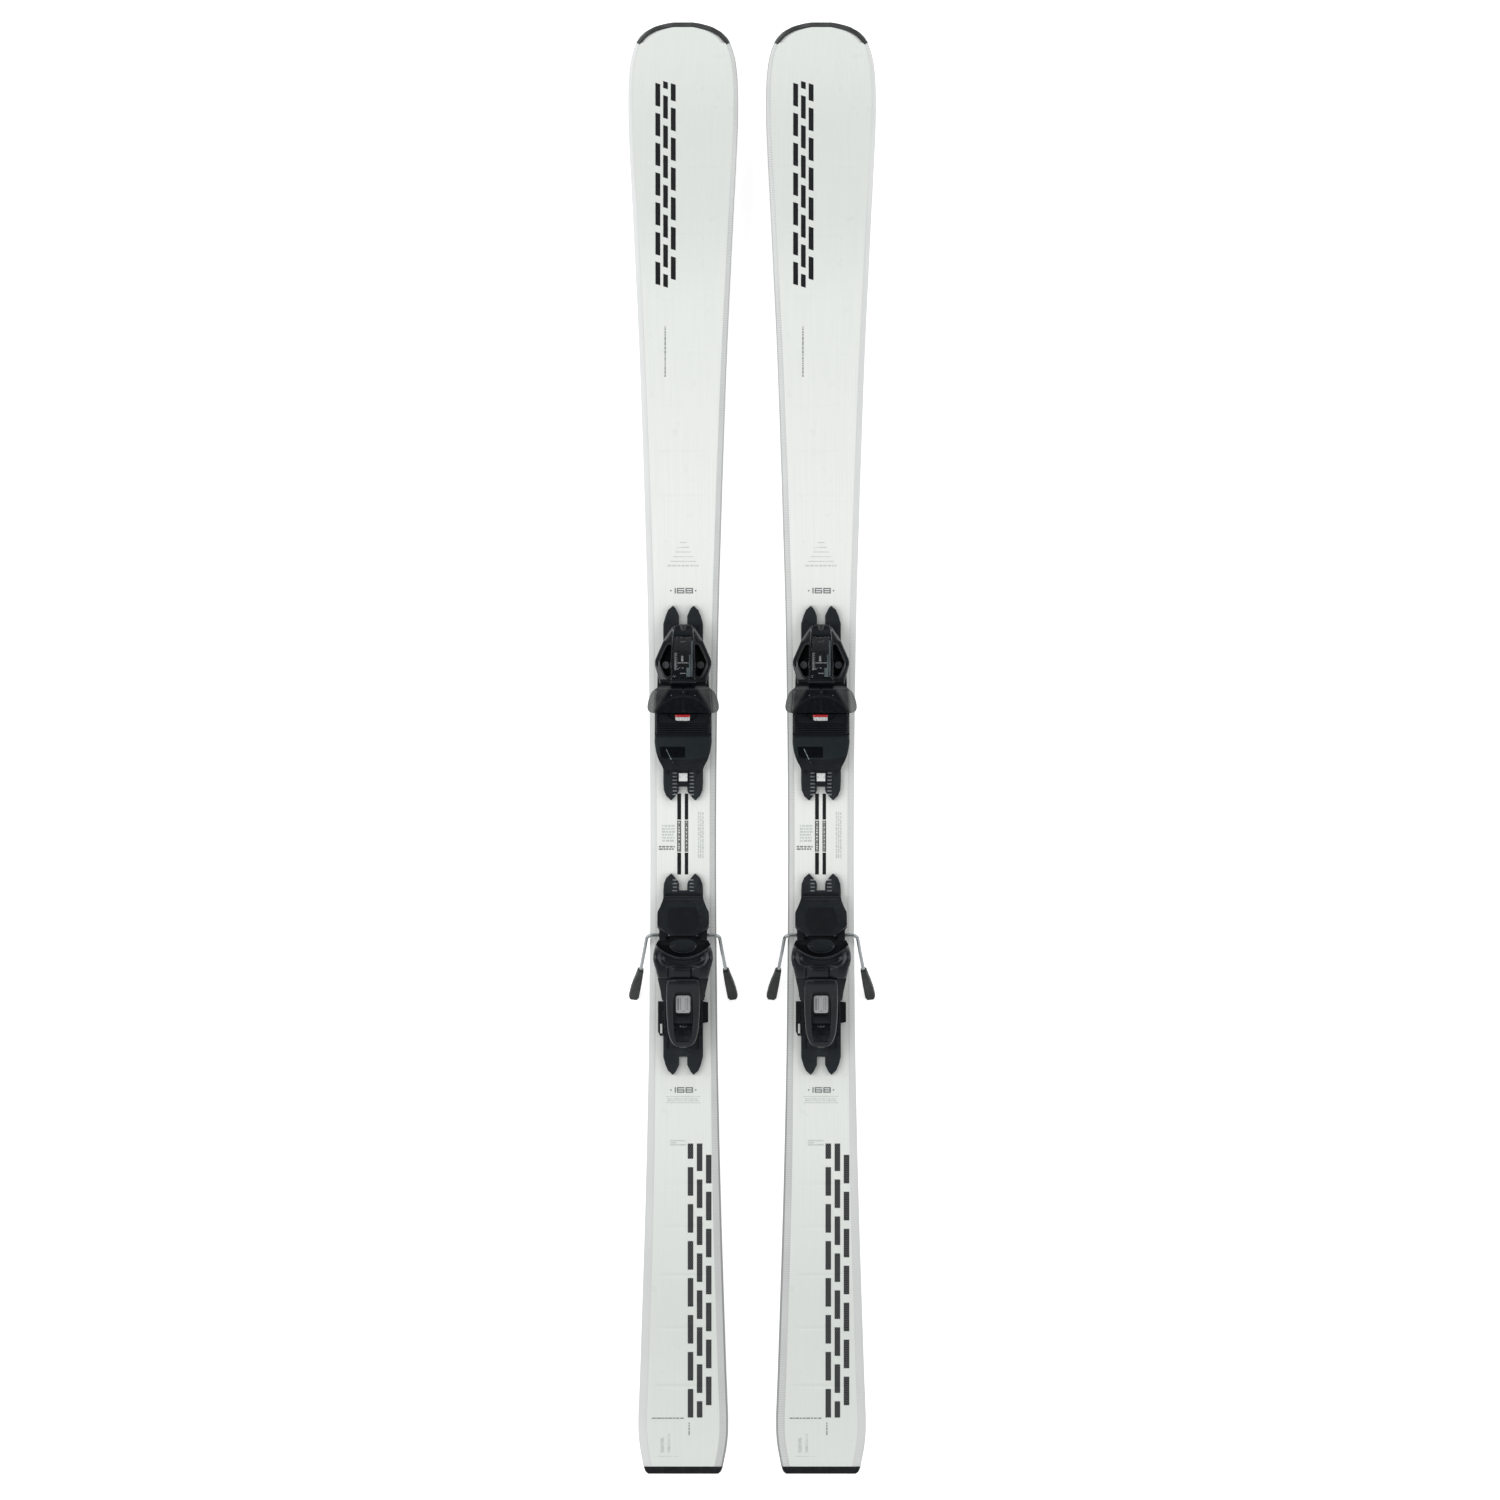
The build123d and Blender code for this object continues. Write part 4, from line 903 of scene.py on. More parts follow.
# tail mark: the same idea with square ends, in a dotted screen
LANES_T = [(5.2, 11.6), (15.7, 22.1), (26.2, 32.6)]
for k, (x0, x1) in enumerate(LANES_T):
    y = -770.8 - 14.2 * k
    while y < -457.0:
        lo, hi = max(-770.8, y), min(-455.0, y + 33.0)
        if hi - lo > 5.0:
            screen.append(rect(x0, x1, lo, hi))
        y += 42.6
grey += size_mark(181.7) + size_mark(-393.3)
grey += dashes(-21.8, -19.8, 428.0, 486.0, 1, True)
grey += dashes(-36.0, 2.0, -772.6, -770.4, 1)
grey += dashes(5.8, 7.8, -791.0, -775.0, 1, True)
pale += [rect(-15.2, 3.2, -452.6, -450.8), rect(-15.2, 3.2, -457.4, -455.6), rect(-15.2, -8.0, -455.0, -453.2)]
# quiet stack of lines ahead of the binding
for i in range(5):
    h = 4.0 + 2.6 * i
    pale.append(rect(-h, h, 236.6 - 5.4 * i, 237.5 - 5.4 * i))
pale += dashes(-18.0, 18.0, 209.0, 212.0, 1)
pale += [rect(-20.0, 20.0, -401.2, -400.4), rect(-20.0, 20.0, -408.4, -407.6)] + dashes(-18.0, 18.0, -406.6, -402.4, 2)
pale += dashes(-24.3, -9.7, -108.0, -87.4, 6) + dashes(16.6, 24.0, -126.5, -72.5, 3, True)
grey += dashes(-28.0, -9.7, -117.3, -111.8, 2)
pale += [slant(-26.0, -22.0, -812.0, -795.0, 0.4), slant(-18.0, -15.0, -812.0, -790.0, 0.4), rect(-30.0, -6.0, -815.8, -815.0)]
# two stripes between the toe and heel pieces
for x0, x1 in ((-6.8, -2.4), (1.8, 5.8)):
    black += [rect(x0, x1, -82.0, -52.0), rect(x0, x1, -145.2, -120.0)]
    black += [rect(x0, x0 + 1.1, -119.0, -83.0), rect(x1 - 1.1, x1, -119.0, -83.0)]
    black += dashes(x0 + 1.5, x1 - 1.5, -119.0, -83.0, 1, True, 0.9)
add("graphics", strip_mesh("graphics", [black, screen, grey, pale], cut_x=3.0), ["ink_black", "ink_screen", "ink_grey", "ink_pale"],
    "ski_cap", [], "topsheet")


# ---- binding shapes that follow the CAD, with their corners rounded
def refined(name, node, mat, bevel=0.5, segments=3, angle=30.0, slot=None):
    add(name, cad_copy(node, bevel, segments, angle), [mat], node, [node], slot, True)


refined("toe_rail", "toe_track", "track", 0.45, 3, slot="track_plastic")
refined("heel_rail", "heel_track", "track", 0.45, 3, slot="track_plastic")
refined("toe_base", "toe_carriage", "carriage", 0.5)
refined("toe_lock_tab", "toe_latch", "carriage", 0.35)
refined("heel_base", "heel_sledge", "carriage", 0.5)
refined("heel_carrier_frame", "heel_frame", "carriage", 0.5)


pedal_line = lambda x, y: 36.568 - 0.26795 * (y + 174.74)
panel = [[(-14.0, -183.0), (14.0, -183.0), (18.6, -194.0), (18.6, -203.0), (11.0, -213.6), (-11.0, -213.6), (-18.6, -203.0),
          (-18.6, -194.0)]]
add("pedal_panel", strip_mesh("pedal_panel", [panel], 0.12, 0.35, 2.0, pedal_line, 4.0), ["pedal_dark"], "brake_pedal", [], None)
lip = slab(-176.2, -173.2, lambda y: -20.6, lambda y: 20.6, lambda x, y: pedal_line(x, y) + 0.3 - 0.06 * (x / 10.0) ** 2,
           lambda x, y: pedal_line(x, y) - 2.4, step=0.3, across=40, r=1.6, r_end=1.2)
add("pedal_lip", mesh_of("pedal_lip", *lip), ["lever"], "brake_pedal", [], None)


# ---- heel jaw: the CAD's body below, a sculpted hood above
JAW_CUT = 84.0
crown = pchip([(-219.5, 60.0), (-221.5, 68.0), (-226.0, 86.0), (-228.4, 93.4), (-234.0, 98.6), (-241.0, 99.7), (-252.0, 96.9),
               (-262.8, 92.0), (-264.4, 90.4)])
jaw_out = pchip([(-218.0, 27.5), (-226.0, 31.5), (-236.0, 34.1), (-242.0, 34.5), (-248.0, 33.4), (-254.0, 31.5), (-267.0, 28.5)])


def rim_distance(x, y):
    return math.hypot(x, y + 200.0) - 40.0


def jaw_top(x, y):
    ax = abs(x)
    z = crown(y)
    d = rim_distance(x, y)
    # hollow behind the raised rim, following its curve
    z -= 5.6 * smooth(1.6, 5.2, d) * smooth(16.0, 8.0, d) * smooth(30.5, 20.0, ax)
    # sunk panel under the lever's nose, with flanks that rise outwards
    low = smooth(-249.5, -253.5, y)
    z -= low * (3.6 - 3.6 * smooth(9.0, 21.0, ax))
    # flat tongue of the panel on the middle
    if -17.0 < x < 9.0:
        z += 1.5 * smooth(-251.2, -251.9, y) * smooth(-17.0, -16.2, x) * smooth(9.0, 8.2, x)
    z -= 0.8 * low * (math.exp(-((x + 17.2) / 0.5) ** 2) + math.exp(-((x - 9.2) / 0.5) ** 2))
    z -= fall_off(d, 1.5) + fall_off(jaw_out(y) - ax, 4.2)
    return z


def jaw_hood():
    middle = slab(-264.3, -240.0, lambda y: -jaw_out(y), jaw_out, jaw_top, lambda x, y: JAW_CUT - 0.4, step=0.4, across=120,
                  r=0.0, r_end=0.0)
    parts = [middle]
    for s in (-1, 1):
        horn = slab(-240.0, -226.3, lambda y: math.sqrt(max(0.0, 1600.0 - (y + 200.0) ** 2)), jaw_out, jaw_top,
                    lambda x, y: JAW_CUT - 0.4, step=0.2, across=44, r=0.0, r_end=0.0)
        parts.append(([(s * x, y, z) for x, y, z in horn[0]], horn[1], horn[2]))
    for s in (-1, 1):
        # lugs of the lever's hinge
        side = [(-265.4, 83.0), (-265.8, 87.0), (-267.8, 87.9), (-270.0, 87.9), (-271.5, 86.0), (-272.4, 83.0)]
        parts.append(loft([[(x, y, z) for y, z in side] for x in sorted((s * 12.1, s * 15.9))]))
    return joined(parts)


def jaw_mesh():
    """CAD body cut level below the hood, joined with it."""
    me = cad_copy("heel_cup", 0.0)
    bm = bmesh.new()
    bm.from_mesh(me)
    bpy.data.meshes.remove(me)
    cutgeo = bmesh.ops.bisect_plane(bm, geom=list(bm.verts) + list(bm.edges) + list(bm.faces), dist=1e-6,
                                    plane_co=(0, 0, JAW_CUT * MM), plane_no=(0, 0, 1), clear_outer=True)
    rim = [e for e in cutgeo["geom_cut"] if isinstance(e, bmesh.types.BMEdge) and e.is_valid]
    bmesh.ops.holes_fill(bm, edges=rim, sides=0)
    sharp = [e for e in bm.edges if len(e.link_faces) == 2 and e.calc_face_angle(0.0) > math.radians(30)
             and e.calc_length() > 0.35 * MM and max(v.co.z for v in e.verts) < (JAW_CUT - 0.5) * MM]
    bmesh.ops.bevel(bm, geom=sharp, offset=0.6 * MM, offset_type="OFFSET", segments=3, profile=0.5, affect="EDGES",
                    clamp_overlap=True)
    bmesh.ops.remove_doubles(bm, verts=bm.verts, dist=1e-6)
    hood = bpy.data.meshes.new("hood")
    v, f, m = jaw_hood()
    hood.from_pydata([(x * MM, y * MM, z * MM) for x, y, z in v], [], f)
    hood.validate()
    hb = bmesh.new()
    hb.from_mesh(hood)
    bmesh.ops.recalc_face_normals(hb, faces=hb.faces)
    hb.to_mesh(hood)
    hb.free()
    bm.from_mesh(hood)
    bpy.data.meshes.remove(hood)
    out = bpy.data.meshes.new("jaw")
    bm.to_mesh(out)
    bm.free()
    return finish_mesh(out, 38.0, recalc=False)


jaw = jaw_mesh()
# the jaw's low tongue inside the rim takes the near-black pit material: painted shade under the rim
for poly in jaw.polygons:
    c = poly.center / MM
    if c.z < JAW_CUT and c.y > -240.0 and abs(c.x) < 27.0:
        poly.material_index = 1
add("jaw", jaw, ["heel", "pit"], "heel_cup", ["heel_cup"], None)


def pad_half(y):
    return max(0.4, 16.2 * math.sqrt(max(0.0, 1 - ((y + 227.9) / 8.3) ** 2)))


def pad_top(x, y):
    edge = max(0.0, 1 - math.hypot(x / 16.2, (y + 227.9) / 8.3))
    z = 68.9 + 0.5 * smooth(0.0, 0.5, edge)
    # raised lip along the rear half
    z += 1.5 * math.exp(-((edge - 0.07) / 0.05) ** 2) * smooth(-225.0, -230.0, y)
    return z


pad = slab(-236.1, -219.7, lambda y: -pad_half(y), pad_half, pad_top, lambda x, y: 66.0, step=0.25, across=60, r=0.5, r_end=0.0)
add("heel_pad", mesh_of("heel_pad", *pad), ["pad"], "heel_cup", [], None)


# ---- lever: a plate over the jaw's back that becomes a loop round the spring barrel
lever_line = pchip([(-264.8, 90.8), (-267.0, 91.9), (-270.0, 91.4), (-280.0, 86.3), (-290.0, 81.0), (-310.0, 72.2), (-330.0, 63.1),
                    (-338.0, 59.2), (-342.6, 56.0), (-344.6, 52.6)])
lever_out = pchip([(-264.6, 17.4), (-268.0, 18.4), (-276.0, 19.3), (-290.0, 19.4), (-306.0, 18.9), (-322.0, 17.8), (-332.0, 15.9),
                   (-338.0, 13.3), (-341.6, 10.4), (-343.6, 6.9), (-344.5, 3.4)])
lever_in = pchip([(-280.2, 8.4), (-282.6, 10.4), (-300.0, 11.3), (-320.0, 10.8), (-331.0, 9.7), (-335.2, 8.4), (-336.8, 6.0)])


def lever_top(x, y):
    ax = abs(x)
    z = lever_line(y) - 1.7 * smooth(5.0, 20.0, ax) - fall_off(lever_out(y) - ax, 2.6) - fall_off(y + 344.6, 1.6)
    z -= fall_off(-264.7 - y, 1.0)
    # rounded lip round the slot
    if -336.8 < y < -280.2:
        z -= fall_off(ax - lever_in(y), 1.3)
    else:
        gap = math.hypot(max(0.0, ax - 8.0), (y + 280.2) if y > -280.2 else (-336.8 - y))
        z -= fall_off(gap, 1.3)
    # long crease on each arm
    z -= 0.55 * math.exp(-((ax - 13.4 - 0.03 * (y + 300.0)) / 0.8) ** 2) * smooth(-330.0, -322.0, y) * smooth(-272.0, -282.0, y)
    return z


def lever_low(x, y):
    if y > -291.3:
        return 85.0 + (y + 265.2) * 0.533
    return 60.1 + (y + 291.2) * 0.3 if y > -318.0 else 52.0 + (y + 318.0) * 0.5 if y > -337.0 else 42.6 + (-337.0 - y) * 0.5


def lever_mesh():
    parts = [slab(-280.2, -264.7, lambda y: -lever_out(y), lever_out, lever_top, lever_low, step=0.6, across=64, r=0.0, r_end=0.0),
             slab(-344.6, -336.8, lambda y: -lever_out(y), lever_out, lever_top, lever_low, step=0.3, across=64, r=0.0, r_end=0.0)]
    for s in (-1, 1):
        arm = slab(-336.8, -280.2, lever_in, lever_out, lever_top, lever_low, step=0.8, across=36, r=0.0, r_end=0.0)
        parts.append(([(s * x, y, z) for x, y, z in arm[0]], arm[1], arm[2]))
    return joined(parts)


add("lever", mesh_of("lever", *lever_mesh()), ["lever"], "heel_lever", ["heel_lever"], None)
refined("side_tab", "heel_latch", "carriage", 0.5)
refined("tread_pedal", "brake_pedal", "pedal", 0.7, 3)
refined("brake_ends", "brake_tips", "tip", 0.0)


# ---- toe housing
HOUSE = [(142.9, 10.4), (141.9, 11.4), (126.0, 21.6), (123.5, 23.0), (103.0, 31.9), (100.0, 32.6), (96.0, 32.6), (92.0, 31.6),
         (80.0, 27.9), (74.6, 27.0)]


def w_house(y):
    if y >= HOUSE[0][0]:
        return HOUSE[0][1]
    for (y0, x0), (y1, x1) in zip(HOUSE, HOUSE[1:]):
        if y >= y1:
            return x1 + (x0 - x1) * (y - y1) / (y0 - y1)
    return HOUSE[-1][1]


spine_w = pchip([(143, 10.2), (130, 11.8), (115, 13.2), (92, 14.0), (74, 14.0)])
spine_z = pchip([(143.4, 44.0), (141.0, 49.5), (136.0, 53.6), (126.0, 58.5), (104.0, 66.0), (86.0, 70.4), (80.0, 70.8), (76.5, 70.2), (74.6, 68.0)])
shoulder_z = pchip([(143.4, 43.0), (138.0, 46.6), (126.0, 50.5), (104.0, 54.5), (90.0, 56.0), (80.0, 55.8), (74.6, 54.6)])
PIT = [(14.6, 119.0), (14.6, 86.0), (17.0, 82.6), (20.0, 84.4), (25.6, 95.4), (26.0, 100.5), (22.0, 110.0), (17.6, 118.0)]


def poly_distance(p, poly):
    """Signed distance to a polygon, positive inside."""
    inside, best = False, 1e9
    n = len(poly)
    for i in range(n):
        (x0, y0), (x1, y1) = poly[i], poly[(i + 1) % n]
        if (y0 > p[1]) != (y1 > p[1]) and p[0] < (x1 - x0) * (p[1] - y0) / (y1 - y0) + x0:
            inside = not inside
        dx, dy = x1 - x0, y1 - y0
        t = max(0.0, min(1.0, ((p[0] - x0) * dx + (p[1] - y0) * dy) / (dx * dx + dy * dy)))
        best = min(best, math.hypot(p[0] - x0 - t * dx, p[1] - y0 - t * dy))
    return best if inside else -best


def house_top(x, y):
    ax = abs(x)
    sw = spine_w(y)
    z_sp, z_sh = spine_z(y), shoulder_z(y)
    z_sh = z_sh - 0.16 * max(0.0, ax - sw)
    z = z_sh + (z_sp - z_sh) * smooth(sw + 1.5, sw - 0.3, ax)
    # crisp bevelled facets at the front corners
    e = 0.84 * (w_house(y) - ax)
    z -= smooth(123.0, 126.0, y) * 1.5 * (max(0.0, 2.6 - e) + 0.35 * math.exp(-((e - 3.2) / 0.5) ** 2))
    # tray under the clear window
    tray = min((sw - 1.5) - ax, 129.4 - y, y - 80.6)
    z -= 3.4 * smooth(-0.35, 0.35, tray)
    # raised lip round the side pits, then the pit itself
    d = poly_distance((ax, y), PIT)
    if y < 124:
        z += 0.7 * math.exp(-((d + 1.2) / 0.9) ** 2) * smooth(sw + 0.4, sw + 2.0, ax)
        floor = 43.9
        z = z + (floor - z) * smooth(-0.3, 0.35, d)
    return z


house = slab(74.6, 142.9, lambda y: -w_house(y), w_house, house_top,
             lambda x, y: 28.2 if y > 108 else 43.4, step=0.5, across=140, r=1.7, r_end=1.0)
# faces on the pit floors take the near-black pit material: painted shade in the recesses
house = tagged(house, lambda x, y, z: 2 if y > 129.4 and abs(x) < spine_w(y) - 0.6 and z > 40 else 1 if y < 124 and poly_distance((abs(x), y), PIT) > -0.15 and z > 43.5 and z < 58 else 0)
add("toe_housing", mesh_of("toe_housing", *house), ["housing", "pit", "front"], "toe_housing", ["toe_housing"], "housing_plastic")


# clear window over the spine
def win_top(x, y):
    return spine_z(y) + 0.35 - 0.012 * x * x / 1.6


lens = slab(81.2, 128.8, lambda y: -(spine_w(y) - 1.9), lambda y: spine_w(y) - 1.9, win_top,
            lambda x, y: spine_z(y) - 0.35, step=1.2, across=28, r=0.5, r_end=0.5)
add("toe_window", mesh_of("toe_window", *lens), ["window"], "toe_window", ["toe_window"], "clear_window")

# scale plate with its marks, and a bright strip beside it
tray_z = lambda x, y: spine_z(y) - 3.35
marks = [rect(-9.8, -8.6, 90.0, 110.0)]
for i in range(9):
    marks.append(rect(-8.2, -8.2 + (3.2 if i % 2 == 0 else 1.9), 91.0 + 2.25 * i, 91.8 + 2.25 * i))
for i in range(4):
    marks.append(rect(-4.4, -3.3, 92.4 + 4.5 * i, 94.6 + 4.5 * i))
marks += [rect(-3.4, 3.0, 86.0, 86.8), rect(-1.6, 0.4, 92.0, 97.5)]
silver = [rect(3.8, 8.6, 82.4, 108.0), rect(9.2, 10.9, 82.4, 124.0)]
add("toe_scale_marks", strip_mesh("toe_scale_marks", [marks, silver], 0.3, 0.35, 1.5, tray_z), ["mark_white", "mark_silver"],
    "toe_housing", [], None)
plate = slab(93.0, 113.0, lambda y: -6.8, lambda y: 6.8, lambda x, y: spine_z(y) - 2.35, lambda x, y: spine_z(y) - 3.2,
             step=2.0, across=14, r=0.3, r_end=0.3)
pointer = [rect(-6.6, 6.6, 98.0, 98.9)]
add("toe_indicator_plate", mesh_of("toe_indicator_plate", *plate), ["patch"], "toe_indicator", ["toe_indicator"], "scale_plate")
add("toe_indicator_line", strip_mesh("toe_indicator_line", [pointer, [rect(-2.2, 0.2, 100.0, 106.5)]], 0.2, 0.3, 3.0,
                                     lambda x, y: spine_z(y) - 2.4), ["mark_white", "mark_white"], "toe_indicator", [], None)


# ---- wings: a moulded shell on each side, over the pivot arm
wing_top_line = pchip([(72.2, 61.8), (69.0, 64.2), (66.0, 65.2), (58.0, 64.0), (48.0, 62.4), (40.6, 61.2)])
wing_out = pchip([(72.0, 22.0), (71.4, 27.4), (68.6, 31.6), (64.8, 36.2), (60.0, 38.4), (54.0, 40.4), (47.5, 41.2), (44.0, 40.4),
                  (42.0, 38.6), (41.0, 36.0), (40.7, 33.6)])
room_out = pchip([(39.0, 35.2), (50.0, 33.4), (60.5, 27.0), (66.4, 16.0), (68.0, 0.0)])


def wing_top(ax, y):
    flank = 44.0 + (42.5 - ax) * 24.0 / 12.5
    t = wing_top_line(y)
    # the plate runs smoothly into the leaning flank
    z = t - max(0.0, t - flank) if abs(t - flank) > 3.0 else min(t, flank) - (3.0 - abs(t - flank)) ** 2 / 12.0
    z -= fall_off(ax - 0.35, 0.7) + fall_off(y - 40.7, 1.7) + fall_off(72.1 - y, 0.5)
    # shallow dish round the boot's toe
    dish = math.hypot(ax, y - 24.0) - 36.0
    z -= 0.45 * smooth(1.6, -1.6, dish) * smooth(40.7, 43.0, y)
    return max(z, 35.0)


def wing_under(ax, y):
    return 58.15 - 24.0 * smooth(-0.1, 0.25, ax - room_out(y)) if y < 68.0 else 34.2


def wing_mesh(s):
    shell = slab(40.7, 72.1, lambda y: 0.35, wing_out, wing_top, wing_under, step=0.7, across=56, r=0.0, r_end=0.0, under=True)
    plan = [(14.0, 97.6), (26.0, 97.6), (29.4, 84.0), (29.8, 70.4), (24.0, 66.4), (13.2, 68.2), (12.2, 84.0)]
    arm = loft([[(x, y, z) for x, y in plan] for z in (33.8, 42.4)])
    hub = loft([[(20.3 + 7.9 * math.cos(a * math.pi / 20), 96.0 + 7.9 * math.sin(a * math.pi / 20), z) for a in range(40)]
                for z in (28.5, 42.5)])
    verts, faces, fm = joined([shell, arm, hub])
    return [(s * x, y, z) for x, y, z in verts], faces, fm


for s, tag in ((-1, "l"), (1, "r")):
    add(f"wing_{tag}", mesh_of(f"wing_{tag}", *wing_mesh(s)), ["wing"], f"toe_wing_{tag}", [f"toe_wing_{tag}"], None)
    spots = []
    for cx, cy, cr in ((13.5, 61.0, 0.8), (33.0, 46.6, 0.55)):
        spots.append([(s * cx + cr * math.cos(a * math.pi / 6), cy + cr * math.sin(a * math.pi / 6)) for a in range(12)])
    add(f"wing_dots_{tag}", strip_mesh(f"wing_dots_{tag}", [spots], 0.12, 0.25, 1.0, lambda x, y: wing_top(abs(x), y), 1.0),
        ["mark_dot"], f"toe_wing_{tag}", [], None)


# ---- rear cover of the toe piece with its dark patch
cover_w = pchip([(14.4, 32.4), (8.0, 32.9), (0.0, 32.0), (-7.0, 30.4), (-14.0, 27.9), (-19.5, 24.9), (-24.4, 22.0), (-25.2, 21.0)])


def cover_top(x, y):
    z = pchip_cover(y) + 1.1 * (1 - (x / 33.0) ** 2)
    return z


pchip_cover = pchip([(14.5, 35.6), (11.0, 36.6), (4.0, 36.4), (-6.0, 34.9), (-16.0, 32.0), (-22.0, 29.6), (-25.3, 27.9)])
cover = slab(-25.3, 14.6, lambda y: -cover_w(y), cover_w, cover_top, lambda x, y: 26.0 if y > -14 else 25.6, step=0.9, across=60, r=1.8,
             r_end=1.0)
add("toe_cover", mesh_of("toe_cover", *cover), ["cover"], "toe_carriage", [], None)
patch = [[(-27.0, 2.0), (2.2, 2.0), (2.2, -10.6), (-25.4, -10.6)], [(-24.8, -10.6), (-17.5, -10.6), (-17.5, -14.2), (-23.4, -14.2)]]
line = [[(-20.0, -0.6), (-19.2, -0.6), (-9.2, -21.5), (-10.0, -21.5)]]
add("toe_cover_print", strip_mesh("toe_cover_print", [patch, line], 0.12, 0.3, 1.0, cover_top, 1.5), ["patch", "mark_silver"],
    "toe_carriage", [], None)

# ---- sliding sole plate with ribs and a lens-shaped hollow
slider_w = pchip([(40.3, 28.6), (39.2, 30.6), (37.0, 31.5), (20.0, 31.6), (18.0, 31.2), (16.7, 29.6)])


def slider_top(x, y):
    z = 38.05
    for i in range(5):
        z -= 0.75 * math.exp(-((y - (18.6 + 2.55 * i)) / 0.55) ** 2) * smooth(30.0, 28.6, abs(x)) * smooth(-3.0, 0.5, 29.9 - y)
    # hollow
    edge = 40.9 - 9.6 * math.sqrt(max(0.0, 1 - (x / 17.4) ** 2))
    if abs(x) < 17.4:
        z -= 1.6 * smooth(-0.25, 0.7, y - edge)
    return z


sl = slab(16.6, 40.2, lambda y: -slider_w(y), slider_w, slider_top, lambda x, y: 31.2, step=0.3, across=90, r=0.9, r_end=0.7)
add("sole_plate", mesh_of("sole_plate", *sl), ["slider"], "sole_slider", ["sole_slider"], "slider_plastic")
strip_z = lambda x, y: slider_top(x, y)
red = slab(36.3, 38.9, lambda y: -9.2, lambda y: 7.8, lambda x, y: 38.0, lambda x, y: 36.2, step=0.4, across=10, r=0.35, r_end=0.35)
add("sole_mark_red", mesh_of("sole_mark_red", *red), ["red"], "sole_slider", [], None)


def white_top(x, y):
    return 37.8 - (0.7 if abs((x + 8.6) % 3.4) < 0.7 and y < 35.0 else 0.0)


white = slab(31.8, 36.1, lambda y: -9.0, lambda y: 7.6, white_top, lambda x, y: 36.2, step=0.6, across=60, r=0.35, r_end=0.35)
add("sole_mark_white", mesh_of("sole_mark_white", *white), ["white"], "sole_slider", [], None)

# ---- pale bars in the tracks' slots, standing in for the white topsheet seen down them, their grey painted shade from the slots; and the white block on the latch
ladder_t, ladder_h = [], []
for s in (-1, 1):
    for i in range(7):
        yy = -28.4 - 4.1 * i
        a, b = sorted((s * 7.15, s * 12.25))
        ladder_t.append(slab(yy - 0.5, yy + 0.5, lambda y, a=a: a, lambda y, b=b: b, lambda x, y: 23.6, lambda x, y: 18.2,
                             step=0.3, across=8, r=0.2, r_end=0.2))
    for i in range(5):
        yy = -151.5 - 4.1 * i
        a, b = sorted((s * 7.15, s * 12.25))
        ladder_h.append(slab(yy - 0.5, yy + 0.5, lambda y, a=a: a, lambda y, b=b: b, lambda x, y: 23.6, lambda x, y: 18.2,
                             step=0.3, across=8, r=0.2, r_end=0.2))
add("toe_ladder", mesh_of("toe_ladder", *joined(ladder_t)), ["ladder"], "toe_track", [], None)
add("heel_ladder", mesh_of("heel_ladder", *joined(ladder_h)), ["ladder"], "heel_track", [], None)
block = slab(-37.8, -28.4, lambda y: -4.9, lambda y: 4.9, lambda x, y: 28.9 - 1.0 * smooth(0.9, 0.4, abs(y + 33.0)) * smooth(2.2, 2.8, abs(x)),
             lambda x, y: 26.9, step=0.6, across=30, r=0.5, r_end=0.5)
add("toe_lock_block", mesh_of("toe_lock_block", *block), ["white"], "toe_latch", [], None)

# ---- heel scale plate
hs = lambda y: 72.3 - (-284.3 - y) * 6.5 / 20.0
plate_half = rounded(8.6, -304.4, -284.0, 2.6)
plate = slab(-304.4, -284.0, lambda y: -plate_half(y), plate_half, lambda x, y: hs(y) + 0.2, lambda x, y: hs(y) - 1.6, step=1.0,
             across=24, r=0.6, r_end=0.9)
add("heel_indicator_plate", mesh_of("heel_indicator_plate", *plate), ["plate"], "heel_indicator", ["heel_indicator"], "scale_plate")
marks = [rect(-6.4, -5.0, -301.0, -287.5), rect(-3.4, -2.8, -301.0, -287.5)]
marks += [rect(2.6, 3.4, -301.0 + 2.8 * i, -299.4 + 2.8 * i) for i in range(5)] + [rect(-1.4, 2.0, -302.6, -301.6)]
marks += [rect(4.6, 5.4, -300.4 + 2.8 * i, -298.4 + 2.8 * i) for i in range(5)]
add("heel_indicator_marks", strip_mesh("heel_indicator_marks", [marks], 0.28, 0.25, 3.0, lambda x, y: hs(y)), ["ink_grey"],
    "heel_indicator", [], None)
tabw = slab(-328.0, -317.0, lambda y: -26.4, lambda y: -24.0, lambda x, y: 28.3, lambda x, y: 27.3, step=0.8, across=10, r=0.3, r_end=0.3)
add("side_tab_strip", mesh_of("side_tab_strip", *tabw), ["white"], "heel_latch", [], None)


# ------------------------------------------------------------------ both skis
for side in SIDES:
    for name, mesh, mats, node, replaced, slot, weighted in PIECES:
        me = mesh.copy()
        me.name = f"{side}_{name}_mesh"
        for m in mats:
            if m[-2:] in ("_R", "_L"):
                # margin and edge-line faces that face the other ski take the inner materials, painted darker as shade
                inner = (m[-1] == "R") == (side == "left")
                m = m[:-2].lower() + ("_inner" if inner else "_outer")
            me.materials.append(M[m])
        o = bpy.data.objects.new(f"{side}_{name}_v", me)
        bpy.context.scene.collection.objects.link(o)
        o.location = ORIGIN[side]
        if weighted:
            wn = o.modifiers.new("weighted", "WEIGHTED_NORMAL")
            wn.keep_sharp = True
        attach(o, body_of_node[f"{side}_{node}"])
        if replaced:
            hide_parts(*[f"{side}_{n}" for n in replaced])

